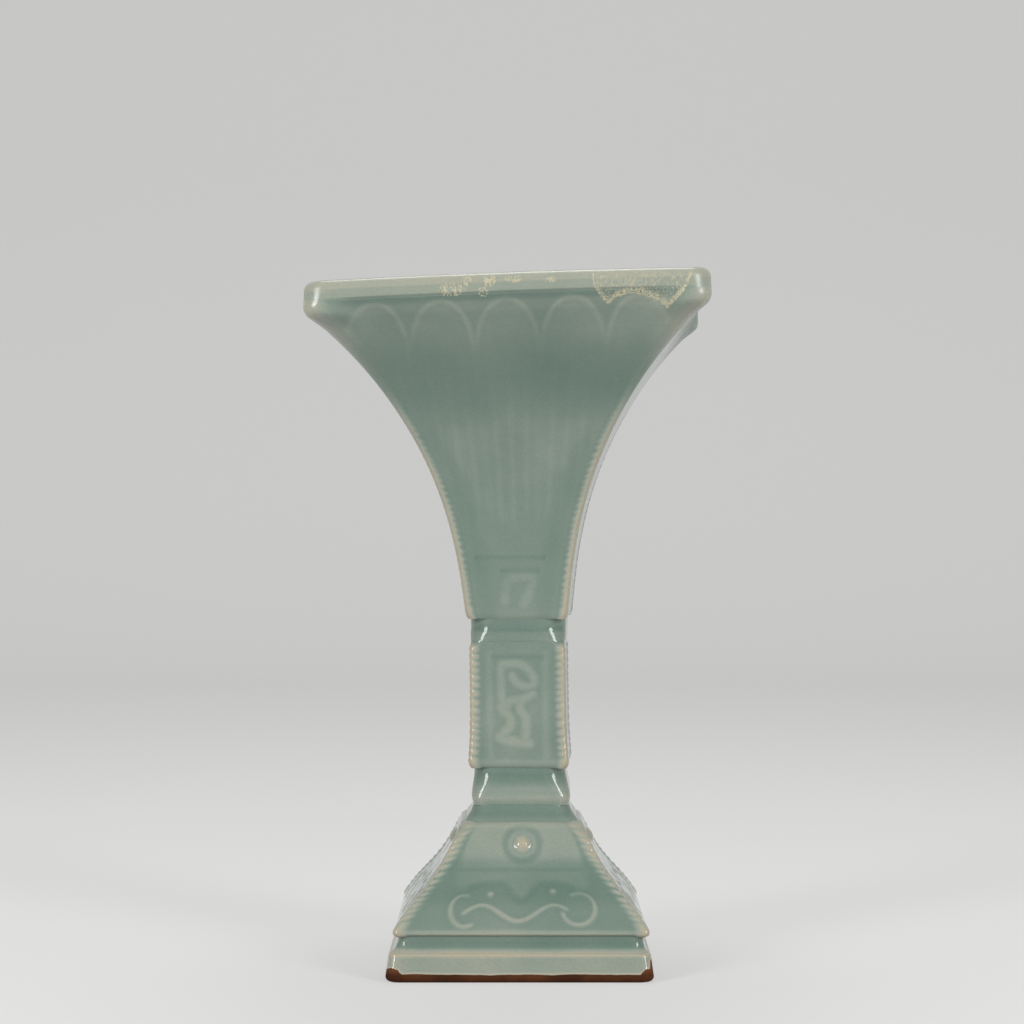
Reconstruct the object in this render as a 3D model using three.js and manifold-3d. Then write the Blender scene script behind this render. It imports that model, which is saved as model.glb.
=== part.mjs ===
// Celadon flower goblet: a square beaker vase built of pressed clay slabs luted with slip.
// Millimetres, +Z up. The origin is the middle of the base, and the front faces -Y.

import * as THREE from "three";
import { mergeVertices } from "three/addons/utils/BufferGeometryUtils.js";
import Module from "manifold-3d";

const wasm = await Module();
wasm.setup();

// Clay and joints
const SLIP = 0.3; // gap that the luting slip fills in every joint
const WALL = 5; // thickness of the pressed slabs
const COIL_LEG = 3.6; // width of a seam coil along each slab that it backs
const COIL_CORE = 1.2; // clay left between its hollowed face and the seam, along each slab
const COIL_STOP = 3; // length of seam that a coil leaves free at each end

// Plinth
const PLINTH_FASCIA = 7.4; // height of the upright band
const PLINTH_RIDGE = 0.9; // height and set-back of the bevel above the band
const PLINTH_COVE = 4.5; // height of the cove under the foot
const PLINTH_PROJECTION = 2; // how far the band stands out past the foot
const PLINTH_TUCK = 0.8; // how far the cove ends inside the foot's edge
const PLINTH_RING = 9; // width of the ring that the vase rests on
const PLINTH_CORNER = 2.2; // rounding of its upright corners
const PLINTH_CHAMFER = 0.6; // bevel of the resting edge

// Foot
const FOOT_HEIGHT = 32;
const FOOT_BOTTOM_HALF = 38.3; // half width at the bottom edge
const FOOT_TOP_HALF = 18.2;
const FOOT_EDGE = 2.5; // upright edge below the sloping face
const FOOT_BOTTOM_LEAN = THREE.MathUtils.degToRad(42); // lean of the face from upright
const FOOT_TOP_LEAN = THREE.MathUtils.degToRad(26);
const FOOT_BOTTOM_REACH = 17; // how far each lean holds along the face
const FOOT_TOP_REACH = 10;

// Floor slab and the lower collar
const FLOOR_THICKNESS = 5;
const FLOOR_TUCK = 0.8; // how far the slab's edge lies inside the foot's top edge
const LOWER_WAIST_HEIGHT = 10.8;
const WAIST_TUCK = 0.5; // how far the wide bottom of a collar lies inside the knop's face
const WAIST_SPREAD = 0.8; // how much narrower a collar is at its top
const WAIST_CORNER = 2.4; // rounding of the collars' upright corners

// Knop
const KNOP_HEIGHT = 39;
const KNOP_BOTTOM_HALF = 15.7;
const KNOP_TOP_HALF = 15.1;

// Upper collar and trumpet
const UPPER_WAIST_HEIGHT = 8.2;
const TRUMPET_HEIGHT = 93.9;
const TRUMPET_BOTTOM_HALF = 15.8;
const TRUMPET_TOP_HALF = 59.6;
const TRUMPET_BOTTOM_LEAN = THREE.MathUtils.degToRad(3.4);
const TRUMPET_TOP_LEAN = THREE.MathUtils.degToRad(22.5);
const TRUMPET_BOTTOM_REACH = 67.8;
const TRUMPET_TOP_REACH = 20;

// Lip
const LIP_HEIGHT = 6.2;
const LIP_SHOULDER = 2.4; // upright part below the round top
const LIP_OVERHANG = 0.6; // how far the lip stands out past the trumpet's face
const LIP_CORNER = 4; // rounding of its corners, seen from above

// Corner notches, cut across the edges of the slabs
const NOTCH_PITCH = 3.2;
const NOTCH_DEPTH = 1;
const NOTCH_HALF_HEIGHT = 0.8;
const NOTCH_MARGIN = 2.6; // plain edge left at each end of a section
const TRUMPET_PLAIN_EDGE = 30; // plain edge below the lip, where the notches run out

// Raised lines, pressed with the slabs as low ridges
const RIDGE = 0.85; // half the thickness of the square bar that makes a line
const VEIN = 0.65; // the same of a leaf's vein
const RIDGE_BED = 0.2; // how deep the middle of the bar lies in the face
const FIELD_MARGIN = 3.2; // plain border between the ornament and the corner edges

// Trumpet ornament: leaf lappets over a double line and a hook
const LAPPET_COUNT = 5;
const LAPPET_PITCH = 19.4; // width of a lappet at the top
const LAPPET_ARCH = 10; // height of its round end
const LAPPET_TOP_GAP = 1.4; // from its tip to the top of the slab
const LAPPET_FOOT = 19; // height of its lower end above the bottom of the trumpet
const LAPPET_GATHER = 0.7; // share of its width left at the lower end
const VEIN_START = 3; // from the tip of a lappet down to the top of its vein
const BAND_HEIGHTS = [13.6, 16.4]; // the two lines above the bottom of the trumpet
const BAND_HALF = 11.8; // half the length of those lines
const HOOK_POINTS = [[-6.8, 4], [-3.4, 4], [-2.4, 10.6], [6, 10.6], [3.8, 3.6]];

// Knop ornament: a fret scroll between two upright lines
const FRAME_HALF = 8.6;
const FRAME_MARGIN = 3.4; // from the ends of the knop to the ends of the lines
const SCROLL_CURL = [[-5.2, 18], [-5.6, 31.6], [2, 31.6], [4.8, 28.8], [3.8, 25], [-1.6, 26.4]];
const SCROLL_FOOT = [[-2.2, 22.6], [2.4, 18.4], [2.8, 6.6], [-5.6, 8], [-4.2, 13.4], [-0.6, 13]];

// Foot ornament: a boss in a ring over a mask of eyes and a moustache scroll
const BOSS_HEIGHT = 25; // of its centre above the bottom of the foot
const BOSS_RADIUS = 2.7;
const BOSS_RISE = 0.8; // height of the boss as a share of its radius
const RING_RADIUS = 5.6;
const RING_GROOVE = 0.6;
const FOOT_BAND_HEIGHT = 17.6;
const FOOT_BAND_HALF = 17.6;
const EYE_SPAN = 9.6; // from the middle to an eye
const EYE_HEIGHT = 11.7;
const EYE_RADIUS = 1.3;
const MOUSTACHE_HEIGHT = 6.4;
const MOUSTACHE_RISE = 2.4; // half the height of its wave
const MOUSTACHE_WAVE = 11.2; // from its dip to its crest
const MOUSTACHE_HALF = 15.2;
const CURL_SPAN = 16.8; // from the middle to the centre of an end curl
const CURL_HEIGHT = 7.2;
const CURL_RADIUS = 4.6;
const CURL_START = THREE.MathUtils.degToRad(80); // from the inner side, turning outwards
const CURL_END = THREE.MathUtils.degToRad(300);

// Facets
const TRUMPET_FACETS = 9;
const FOOT_FACETS = 4;
const CORNER_STEPS = 3;
const CURVE_STEPS = 3;
const ROUND_STEPS = 8;
const GROOVE_SIDES = 4;
const MERGE = 1e-4;

// Levels of the stacked sections, each set on a bed of slip
const plinthTop = PLINTH_FASCIA + PLINTH_RIDGE + PLINTH_COVE;
const footBottom = plinthTop + SLIP;
const footTop = footBottom + FOOT_HEIGHT;
const floorBottom = footTop + SLIP;
const floorTop = floorBottom + FLOOR_THICKNESS;
const lowerWaistBottom = floorTop + SLIP;
const lowerWaistTop = lowerWaistBottom + LOWER_WAIST_HEIGHT;
const knopBottom = lowerWaistTop + SLIP;
const knopTop = knopBottom + KNOP_HEIGHT;
const upperWaistBottom = knopTop + SLIP;
const upperWaistTop = upperWaistBottom + UPPER_WAIST_HEIGHT;
const trumpetBottom = upperWaistTop + SLIP;
const trumpetTop = trumpetBottom + TRUMPET_HEIGHT;
const lipBottom = trumpetTop + SLIP;

// One side of a section, seen from its edge: a curve of (half width, height) from the bottom up,
// and the number of flat facets that follow it.
class Side {
  constructor(curve, facets) {
    this.curve = curve;
    this.facets = facets;
  }

  // Point at a share of the curve, moved in through the clay by a depth.
  pointAt(share, depth = 0) {
    const run = this.curve.getTangent(share);
    const inward = new THREE.Vector2(-run.y, run.x);
    return this.curve.getPoint(share).addScaledVector(inward, depth);
  }

  // Share of the curve at which that point reaches a height.
  shareAt(height, depth = 0) {
    let low = 0;
    let high = 1;
    while (high - low > MERGE * MERGE) {
      const middle = (low + high) / 2;
      if (this.pointAt(middle, depth).y < height) {
        low = middle;
      } else {
        high = middle;
      }
    }
    return (low + high) / 2;
  }

  // Heights at which one flat facet ends and the next begins.
  facetHeights() {
    return Array.from({ length: this.facets + 1 }, (_, i) => this.pointAt(i / this.facets).y);
  }

  // Half width at a height, measured on the flat facets.
  halfAt(height) {
    const place = Math.min(this.shareAt(height) * this.facets, this.facets - MERGE);
    const low = this.pointAt(Math.floor(place) / this.facets);
    const high = this.pointAt((Math.floor(place) + 1) / this.facets);
    return THREE.MathUtils.mapLinear(height, low.y, high.y, low.x, high.x);
  }
}

// A side that flares: it leaves each end at a lean from upright and holds it for a reach.
function flaredSide(bottom, bottomLean, bottomReach, top, topLean, topReach, facets) {
  const leave = new THREE.Vector2(Math.sin(bottomLean), Math.cos(bottomLean));
  const arrive = new THREE.Vector2(Math.sin(topLean), Math.cos(topLean));
  const first = bottom.clone().addScaledVector(leave, bottomReach);
  const second = top.clone().addScaledVector(arrive, -topReach);
  return new Side(new THREE.CubicBezierCurve(bottom, first, second, top), facets);
}

const footSide = flaredSide(
  new THREE.Vector2(FOOT_BOTTOM_HALF, footBottom + FOOT_EDGE), -FOOT_BOTTOM_LEAN, FOOT_BOTTOM_REACH,
  new THREE.Vector2(FOOT_TOP_HALF, footTop), -FOOT_TOP_LEAN, FOOT_TOP_REACH, FOOT_FACETS,
);
const knopSide = new Side(new THREE.LineCurve(
  new THREE.Vector2(KNOP_BOTTOM_HALF, knopBottom),
  new THREE.Vector2(KNOP_TOP_HALF, knopTop),
), 1);
const trumpetSide = flaredSide(
  new THREE.Vector2(TRUMPET_BOTTOM_HALF, trumpetBottom), TRUMPET_BOTTOM_LEAN, TRUMPET_BOTTOM_REACH,
  new THREE.Vector2(TRUMPET_TOP_HALF, trumpetTop), TRUMPET_TOP_LEAN, TRUMPET_TOP_REACH,
  TRUMPET_FACETS,
);

// A closed geometry as a solid that can be joined and cut.
function solidFrom(geometry) {
  const shell = new THREE.BufferGeometry();
  shell.setAttribute("position", geometry.getAttribute("position"));
  shell.setIndex(geometry.getIndex());
  const merged = mergeVertices(shell, MERGE);
  const corners = merged.getIndex().array;
  const triangles = [];
  for (let i = 0; i < corners.length; i += 3) {
    const [a, b, c] = corners.slice(i, i + 3);
    if (a !== b && b !== c && c !== a) {
      triangles.push(a, b, c);
    }
  }
  return new wasm.Manifold(new wasm.Mesh({
    numProp: 3,
    vertProperties: merged.getAttribute("position").array,
    triVerts: new Uint32Array(triangles),
  }));
}

function geometryFrom(solid) {
  const mesh = solid.getMesh();
  const geometry = new THREE.BufferGeometry();
  geometry.setAttribute("position", new THREE.BufferAttribute(mesh.vertProperties, 3));
  geometry.setIndex(new THREE.BufferAttribute(mesh.triVerts, 1));
  const faceted = geometry.toNonIndexed();
  faceted.computeVertexNormals();
  return faceted;
}

function joinAll(solids) {
  return solids.reduce((whole, next) => whole.add(next));
}

// The quarter of the vessel that the front slab fills, set back from the two corners.
function frontQuarter(bottom, top, reach, setBack) {
  const plan = new THREE.Shape([
    new THREE.Vector2(0, -setBack),
    new THREE.Vector2(setBack - reach, -reach),
    new THREE.Vector2(reach - setBack, -reach),
  ]);
  const prism = new THREE.ExtrudeGeometry(plan, { depth: top - bottom, bevelEnabled: false });
  return solidFrom(prism.translate(0, 0, bottom));
}

// The front slab as it is pressed, with both faces run on past its ends for a level cut.
function pressedSlab(side, reach) {
  const section = [0, WALL].map((depth) => {
    const line = [];
    for (let step = 0; step <= side.facets; step += 1) {
      line.push(side.pointAt(step / side.facets, depth));
    }
    const runOn = 2 * WALL;
    line.unshift(line[0].clone().addScaledVector(side.curve.getTangent(0), -runOn));
    line.push(line.at(-1).clone().addScaledVector(side.curve.getTangent(1), runOn));
    return line;
  });
  const outline = new THREE.Shape([...section[0], ...section[1].reverse()]);
  const slab = new THREE.ExtrudeGeometry(outline, { depth: 2 * reach, bevelEnabled: false });
  const upright = new THREE.Matrix4().makeBasis(
    new THREE.Vector3(0, -1, 0), new THREE.Vector3(0, 0, 1), new THREE.Vector3(-1, 0, 0),
  );
  return solidFrom(slab.applyMatrix4(upright).translate(reach, 0, 0));
}

// The place of an ornament on the front face: its own x runs across, y up the face and z outwards.
function facePlace(side, across, height) {
  const run = side.curve.getTangent(side.shareAt(height));
  const up = new THREE.Vector3(0, -run.x, run.y);
  const out = new THREE.Vector3(0, -run.y, -run.x);
  return new THREE.Matrix4()
    .makeBasis(new THREE.Vector3(1, 0, 0), up, out)
    .setPosition(across, -side.halfAt(height), height);
}

// A strip lofted through four-cornered sections, each given in order with its run towards the eye.
function strip(sections) {
  const positions = sections.flat().flatMap((corner) => corner.toArray());
  const index = [0, 2, 1, 0, 3, 2];
  for (let start = 0; start < 4 * (sections.length - 1); start += 4) {
    for (let corner = 0; corner < 4; corner += 1) {
      const [a, b] = [start + corner, start + ((corner + 1) % 4)];
      index.push(a, b, b + 4, a, b + 4, a + 4);
    }
  }
  const end = 4 * (sections.length - 1);
  index.push(end, end + 1, end + 2, end, end + 2, end + 3);
  const geometry = new THREE.BufferGeometry();
  geometry.setAttribute("position", new THREE.Float32BufferAttribute(positions, 3));
  geometry.setIndex(index);
  return solidFrom(geometry);
}

// A raised line through points (distance across, height) of the front face: a square bar, bedded in
// the face with one edge outwards, and mitred where the line turns.
function ridge(side, points, size = RIDGE) {
  const places = points.map((point) => facePlace(side, point.x, point.y));
  const centres = places.map((place) => new THREE.Vector3().setFromMatrixPosition(place));
  const runs = centres.slice(1).map((end, i) => end.clone().sub(centres[i]).normalize());
  const sections = centres.map((centre, i) => {
    const run = runs[Math.min(i, runs.length - 1)];
    const through = run.clone().add(runs[Math.max(i - 1, 0)]).normalize();
    const out = new THREE.Vector3().setFromMatrixColumn(places[i], 2);
    const aside = through.clone().cross(out).setLength(size / through.dot(run));
    const sunk = centre.clone().addScaledVector(out, -RIDGE_BED);
    out.setLength(size);
    return [
      sunk.clone().add(out), sunk.clone().add(aside),
      sunk.clone().sub(out), sunk.clone().sub(aside),
    ];
  });
  return strip(sections);
}

// A raised line given by its corners above the bottom of the section.
function fret(side, bottom, corners) {
  return ridge(side, corners.map(([across, height]) => new THREE.Vector2(across, bottom + height)));
}

function dome(side, across, height, radius, rise) {
  const ball = new THREE.SphereGeometry(radius, ROUND_STEPS, CURVE_STEPS);
  ball.rotateX(Math.PI / 2).scale(1, 1, rise);
  return solidFrom(ball.applyMatrix4(facePlace(side, across, height)));
}

// V-shaped bars laid level across both corner edges of the front slab.
function notchBars(side, lowest, highest) {
  const barLength = 4 * NOTCH_DEPTH; // twice the width of the notch that it cuts
  const across = new THREE.Vector3(1, 1, 0).normalize().multiplyScalar(barLength);
  const outwards = new THREE.Vector3(1, -1, 0).normalize().multiplyScalar(NOTCH_DEPTH);
  const upwards = new THREE.Vector3(0, 0, NOTCH_HALF_HEIGHT);
  const count = Math.floor((highest - lowest) / NOTCH_PITCH) + 1;
  const bars = [];
  for (let i = 0; i < count; i += 1) {
    const height = lowest + i * NOTCH_PITCH;
    const half = side.halfAt(height);
    const bar = new THREE.CylinderGeometry(1, 1, 1, 4);
    bar.applyMatrix4(new THREE.Matrix4().makeBasis(outwards, across, upwards));
    bar.translate(half, -half, height);
    bars.push(solidFrom(bar), solidFrom(bar.clone().rotateZ(-Math.PI / 2)));
  }
  return joinAll(bars);
}

// The front slab of a section: pressed with its ornament, mitred, and notched along its edges.
function frontPanel(side, bottom, top, reach, lines, notches) {
  const field = frontQuarter(bottom, top, reach, FIELD_MARGIN);
  const mitred = frontQuarter(bottom, top, reach, SLIP / Math.SQRT2);
  const raised = joinAll(lines).intersect(field);
  return pressedSlab(side, reach).add(raised).intersect(mitred).subtract(notches);
}

// Trumpet: a row of leaf lappets gathered towards the waist, over a double line and a hook
function trumpetLines() {
  const tip = trumpetTop - LAPPET_TOP_GAP;
  const spring = tip - LAPPET_ARCH;
  const end = trumpetBottom + LAPPET_FOOT;
  const half = LAPPET_COUNT / 2;
  const levels = trumpetSide.facetHeights().filter((height) => height > end);
  const gathered = (across, from, size) => {
    const heights = [end, ...levels.filter((height) => height < from), from];
    return ridge(trumpetSide, heights.map((height) => {
      const share = THREE.MathUtils.mapLinear(height, end, spring, LAPPET_GATHER, 1);
      return new THREE.Vector2(across * share, height);
    }), size);
  };
  const lines = [fret(trumpetSide, trumpetBottom, HOOK_POINTS)];
  for (let i = 0; i < LAPPET_COUNT; i += 1) {
    const middle = (i + 0.5 - half) * LAPPET_PITCH;
    const arch = new THREE.EllipseCurve(middle, spring, LAPPET_PITCH / 2, LAPPET_ARCH, 0, Math.PI);
    lines.push(ridge(trumpetSide, arch.getPoints(ROUND_STEPS)));
    lines.push(gathered(middle, tip - VEIN_START, VEIN));
  }
  for (let i = 1; i < LAPPET_COUNT; i += 1) {
    lines.push(gathered((i - half) * LAPPET_PITCH, spring, RIDGE));
  }
  for (const height of BAND_HEIGHTS) {
    lines.push(fret(trumpetSide, trumpetBottom, [[-BAND_HALF, height], [BAND_HALF, height]]));
  }
  return lines;
}

// Knop: a fret scroll between two upright lines
function knopLines() {
  const ends = [FRAME_MARGIN, KNOP_HEIGHT - FRAME_MARGIN];
  const frame = [-FRAME_HALF, FRAME_HALF].map((across) => ends.map((height) => [across, height]));
  return [...frame, SCROLL_CURL, SCROLL_FOOT].map((line) => fret(knopSide, knopBottom, line));
}

// Foot: a line, and a moustache scroll that ends in curls
class Moustache extends THREE.Curve {
  getPoint(share, target = new THREE.Vector2()) {
    const across = THREE.MathUtils.lerp(-MOUSTACHE_HALF, MOUSTACHE_HALF, share);
    const rise = -MOUSTACHE_RISE * Math.cos((across / MOUSTACHE_WAVE) * Math.PI);
    return target.set(across, footBottom + MOUSTACHE_HEIGHT + rise);
  }
}

function footLines() {
  const band = [[-FOOT_BAND_HALF, FOOT_BAND_HEIGHT], [FOOT_BAND_HALF, FOOT_BAND_HEIGHT]];
  const curl = (across, from, to) => new THREE.EllipseCurve(
    across, footBottom + CURL_HEIGHT, CURL_RADIUS, CURL_RADIUS, from, to, to < from,
  );
  return [
    fret(footSide, footBottom, band),
    ridge(footSide, new Moustache().getPoints(2 * ROUND_STEPS)),
    ridge(footSide, curl(-CURL_SPAN, CURL_START, CURL_END).getPoints(ROUND_STEPS)),
    ridge(footSide, curl(CURL_SPAN, Math.PI - CURL_START, Math.PI - CURL_END).getPoints(ROUND_STEPS)),
  ];
}

// Its domes: the boss and the two eyes of the mask
function footDomes() {
  return joinAll([
    dome(footSide, 0, footBottom + BOSS_HEIGHT, BOSS_RADIUS, BOSS_RISE),
    dome(footSide, -EYE_SPAN, footBottom + EYE_HEIGHT, EYE_RADIUS, 1),
    dome(footSide, EYE_SPAN, footBottom + EYE_HEIGHT, EYE_RADIUS, 1),
  ]);
}

function bossRing() {
  const groove = new THREE.TorusGeometry(RING_RADIUS, RING_GROOVE, GROOVE_SIDES, 2 * ROUND_STEPS);
  return solidFrom(groove.applyMatrix4(facePlace(footSide, 0, footBottom + BOSS_HEIGHT)));
}

function trumpetPanel() {
  const top = trumpetTop - TRUMPET_PLAIN_EDGE;
  const notches = notchBars(trumpetSide, trumpetBottom + NOTCH_MARGIN, top);
  const reach = TRUMPET_TOP_HALF + WALL;
  return frontPanel(trumpetSide, trumpetBottom, trumpetTop, reach, trumpetLines(), notches);
}

function knopPanel() {
  const notches = notchBars(knopSide, knopBottom + NOTCH_MARGIN, knopTop - NOTCH_MARGIN);
  const reach = KNOP_BOTTOM_HALF + WALL;
  return frontPanel(knopSide, knopBottom, knopTop, reach, knopLines(), notches);
}

function footPanel() {
  const lowest = footBottom + FOOT_EDGE + NOTCH_HALF_HEIGHT;
  const notches = notchBars(footSide, lowest, footTop - NOTCH_MARGIN);
  const cuts = notches.add(bossRing());
  const panel = frontPanel(footSide, footBottom, footTop, FOOT_BOTTOM_HALF, footLines(), cuts);
  return panel.add(footDomes());
}

// A section carried round a square with rounded corners. Its points are (half width, height),
// in order with the clay on the left, and it closes on itself or starts and ends on the axis.
function squareTurn(section, corner) {
  const positions = [];
  const around = 4 * (CORNER_STEPS + 1);
  for (const { x: half, y: height } of section) {
    const radius = Math.min(corner, half);
    for (let quarter = 0; quarter < 4; quarter += 1) {
      for (let step = 0; step <= CORNER_STEPS; step += 1) {
        const angle = (quarter + step / CORNER_STEPS) * (Math.PI / 2);
        const diagonal = (quarter + 0.5) * (Math.PI / 2);
        const centre = (half - radius) * Math.SQRT2;
        positions.push(
          centre * Math.cos(diagonal) + radius * Math.cos(angle),
          centre * Math.sin(diagonal) + radius * Math.sin(angle),
          height,
        );
      }
    }
  }
  const index = [];
  for (let i = 0; i < section.length; i += 1) {
    const next = (i + 1) % section.length;
    for (let j = 0; j < around; j += 1) {
      const turn = (j + 1) % around;
      const [a, b] = [i * around + j, i * around + turn];
      const [c, d] = [next * around + turn, next * around + j];
      index.push(a, b, c, a, c, d);
    }
  }
  const geometry = new THREE.BufferGeometry();
  geometry.setAttribute("position", new THREE.Float32BufferAttribute(positions, 3));
  geometry.setIndex(index);
  return solidFrom(geometry);
}

// A hollow curve between two edges: it leaves the lower edge level and meets the upper one upright.
function cove(lower, upper) {
  const hollow = new THREE.Vector2(upper.x, lower.y);
  return new THREE.QuadraticBezierCurve(lower, hollow, upper).getPoints(CURVE_STEPS);
}

// A plain collar next to the knop, widest at its bottom and bored as wide as the knop.
function waistRing(bottom, top, knopHalf) {
  const wide = knopHalf - WAIST_TUCK;
  const bore = knopHalf - WALL;
  return squareTurn([
    new THREE.Vector2(bore, bottom),
    ...cove(new THREE.Vector2(wide, bottom), new THREE.Vector2(wide - WAIST_SPREAD, top)),
    new THREE.Vector2(bore, top),
  ], WAIST_CORNER);
}

function floorSlab() {
  const edge = FOOT_TOP_HALF - FLOOR_TUCK;
  const collar = KNOP_BOTTOM_HALF - WAIST_TUCK;
  return squareTurn([
    new THREE.Vector2(0, floorBottom),
    ...cove(new THREE.Vector2(edge, floorBottom), new THREE.Vector2(collar, floorTop)),
    new THREE.Vector2(0, floorTop),
  ], WAIST_CORNER);
}

function plinthFrame() {
  const band = FOOT_BOTTOM_HALF + PLINTH_PROJECTION;
  const inner = band - PLINTH_RING;
  const ridge = new THREE.Vector2(band - PLINTH_RIDGE, PLINTH_FASCIA + PLINTH_RIDGE);
  return squareTurn([
    new THREE.Vector2(inner, 0),
    new THREE.Vector2(band - PLINTH_CHAMFER, 0),
    new THREE.Vector2(band, PLINTH_CHAMFER),
    new THREE.Vector2(band, PLINTH_FASCIA),
    ...cove(ridge, new THREE.Vector2(FOOT_BOTTOM_HALF - PLINTH_TUCK, plinthTop)),
    new THREE.Vector2(inner, plinthTop),
  ], PLINTH_CORNER);
}

// The lip: an upright shoulder under a round top, as wide as the slabs that it sits on
function mouthLip() {
  const outer = TRUMPET_TOP_HALF + LIP_OVERHANG;
  const inner = TRUMPET_TOP_HALF - WALL / Math.cos(TRUMPET_TOP_LEAN);
  const crown = new THREE.EllipseCurve(
    (outer + inner) / 2, lipBottom + LIP_SHOULDER,
    (outer - inner) / 2, LIP_HEIGHT - LIP_SHOULDER, 0, Math.PI,
  );
  return squareTurn([
    new THREE.Vector2(inner, lipBottom),
    new THREE.Vector2(TRUMPET_TOP_HALF, lipBottom),
    ...crown.getPoints(ROUND_STEPS),
  ], LIP_CORNER);
}

// A coil pressed into the front right seam: a three-cornered strip with a hollowed face.
function seamCoil(side, bottom, top) {
  const depth = WALL + SLIP;
  const first = side.shareAt(bottom + COIL_STOP, depth);
  const last = side.shareAt(top - COIL_STOP, depth);
  const sections = [];
  for (let step = 0; step <= side.facets; step += 1) {
    const share = THREE.MathUtils.lerp(first, last, step / side.facets);
    const { x: half, y: height } = side.pointAt(share, depth);
    sections.push([
      new THREE.Vector3(half, -half, height),
      new THREE.Vector3(half, COIL_LEG - half, height),
      new THREE.Vector3(half - COIL_CORE, COIL_CORE - half, height),
      new THREE.Vector3(half - COIL_LEG, -half, height),
    ]);
  }
  return strip(sections);
}

// Grey-green celadon glaze, and the bare clay where the vase isn't glazed
function celadon() {
  return new THREE.MeshStandardMaterial({ color: 0x93a694, roughness: 0.22, metalness: 0 });
}

function bareClay() {
  return new THREE.MeshStandardMaterial({ color: 0x8a5a3c, roughness: 0.85, metalness: 0 });
}

const goblet = new THREE.Group();

function place(name, solid, material, turn = 0) {
  const mesh = new THREE.Mesh(geometryFrom(solid), material);
  mesh.name = name;
  mesh.rotation.z = turn;
  goblet.add(mesh);
}

// The same piece on all four sides, or in all four seams, going round from the front
const SIDES = ["front", "right", "back", "left"];
const SEAMS = ["front_right", "back_right", "back_left", "front_left"];

function placeRound(name, places, solid, material) {
  places.forEach((where, i) => place(`${name}_${where}`, solid, material(), (i * Math.PI) / 2));
}

place("plinth_frame", plinthFrame(), celadon());
placeRound("foot_panel", SIDES, footPanel(), celadon);
placeRound("foot_seam_coil", SEAMS, seamCoil(footSide, footBottom, footTop), bareClay);
place("floor_slab", floorSlab(), celadon());
place("lower_waist_ring", waistRing(lowerWaistBottom, lowerWaistTop, KNOP_BOTTOM_HALF), celadon());
placeRound("knop_panel", SIDES, knopPanel(), celadon);
placeRound("knop_seam_coil", SEAMS, seamCoil(knopSide, knopBottom, knopTop), celadon);
place("upper_waist_ring", waistRing(upperWaistBottom, upperWaistTop, KNOP_TOP_HALF), celadon());
placeRound("trumpet_panel", SIDES, trumpetPanel(), celadon);
placeRound("trumpet_seam_coil", SEAMS, seamCoil(trumpetSide, trumpetBottom, trumpetTop), celadon);
place("mouth_lip", mouthLip(), celadon());

export default goblet;
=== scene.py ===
# %% [markdown]
# # Celadon flower goblet
# A square flower vase after an old bronze goblet, pressed from clay slabs and covered by a thick
# grey-green glaze. The CAD model holds its pieces at their real sizes. This lesson dresses them in
# three steps. It presses the ornament into fine meshes, it bends the straight vase the way its kiln
# did, and it lays on a glaze that thins to cream over every edge and deepens wherever it pools.

# %% Load the frame
import math
from functools import partial

import bpy
import numpy as np
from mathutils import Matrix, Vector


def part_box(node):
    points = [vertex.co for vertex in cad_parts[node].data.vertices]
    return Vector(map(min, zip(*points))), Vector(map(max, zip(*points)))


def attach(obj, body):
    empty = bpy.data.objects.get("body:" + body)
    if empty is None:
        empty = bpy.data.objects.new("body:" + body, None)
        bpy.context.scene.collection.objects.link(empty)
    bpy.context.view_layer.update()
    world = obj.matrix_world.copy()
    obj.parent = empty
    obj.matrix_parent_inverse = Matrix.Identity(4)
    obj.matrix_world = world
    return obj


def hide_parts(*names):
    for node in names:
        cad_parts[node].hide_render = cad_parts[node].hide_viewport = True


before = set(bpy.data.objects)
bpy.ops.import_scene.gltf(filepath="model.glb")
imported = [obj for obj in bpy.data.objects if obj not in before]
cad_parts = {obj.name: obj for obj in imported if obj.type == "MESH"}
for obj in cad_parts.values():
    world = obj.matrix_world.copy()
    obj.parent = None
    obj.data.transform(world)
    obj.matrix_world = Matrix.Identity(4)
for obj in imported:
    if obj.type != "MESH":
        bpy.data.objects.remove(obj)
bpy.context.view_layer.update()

MM = 0.001

# %% [markdown]
# ## Where the sections meet
# The vase is a stack of sections, luted with slip. Every height below is read from the CAD pieces,
# halfway through the slip between two of them, so that the fine meshes close the joints just as the
# glaze does on the real vase.

# %% Heights of the joints
STACK = (
    "plinth_frame", "foot_panel_front", "floor_slab", "lower_waist_ring",
    "knop_panel_front", "upper_waist_ring", "trumpet_panel_front", "mouth_lip",
)


def joint_height(lower, upper):
    """Height of the slip between two CAD pieces."""
    return (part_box(lower)[1].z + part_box(upper)[0].z) / 2


joints = [joint_height(lower, upper) for lower, upper in zip(STACK, STACK[1:])]
FOOT_Z, FLOOR_Z, LOWER_WAIST_Z, KNOP_Z, UPPER_WAIST_Z, TRUMPET_Z, LIP_Z = joints
TOP_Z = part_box("mouth_lip")[1].z
MOUTH_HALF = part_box("mouth_lip")[1].x
print("Trumpet from", round(TRUMPET_Z / MM, 2), "to", round(LIP_Z / MM, 2), "mm")

# %% [markdown]
# ## Camera
# The photograph was taken level, with a long lens, a little to the left of the vase. A level camera
# keeps upright edges upright, and the lens decides how much of the foot's two side faces shows. Both
# were found by comparing near and far corners in the picture.

# %% Camera
FOCAL_LENGTH_PIXELS = 2345
PHOTO_PIXELS = 1024
CAMERA_PLACE = (-2.3 * MM, -741 * MM, 140.9 * MM)


def placed(name, data):
    """A new object in the scene."""
    made = bpy.data.objects.new(name, data)
    bpy.context.scene.collection.objects.link(made)
    return made


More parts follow.
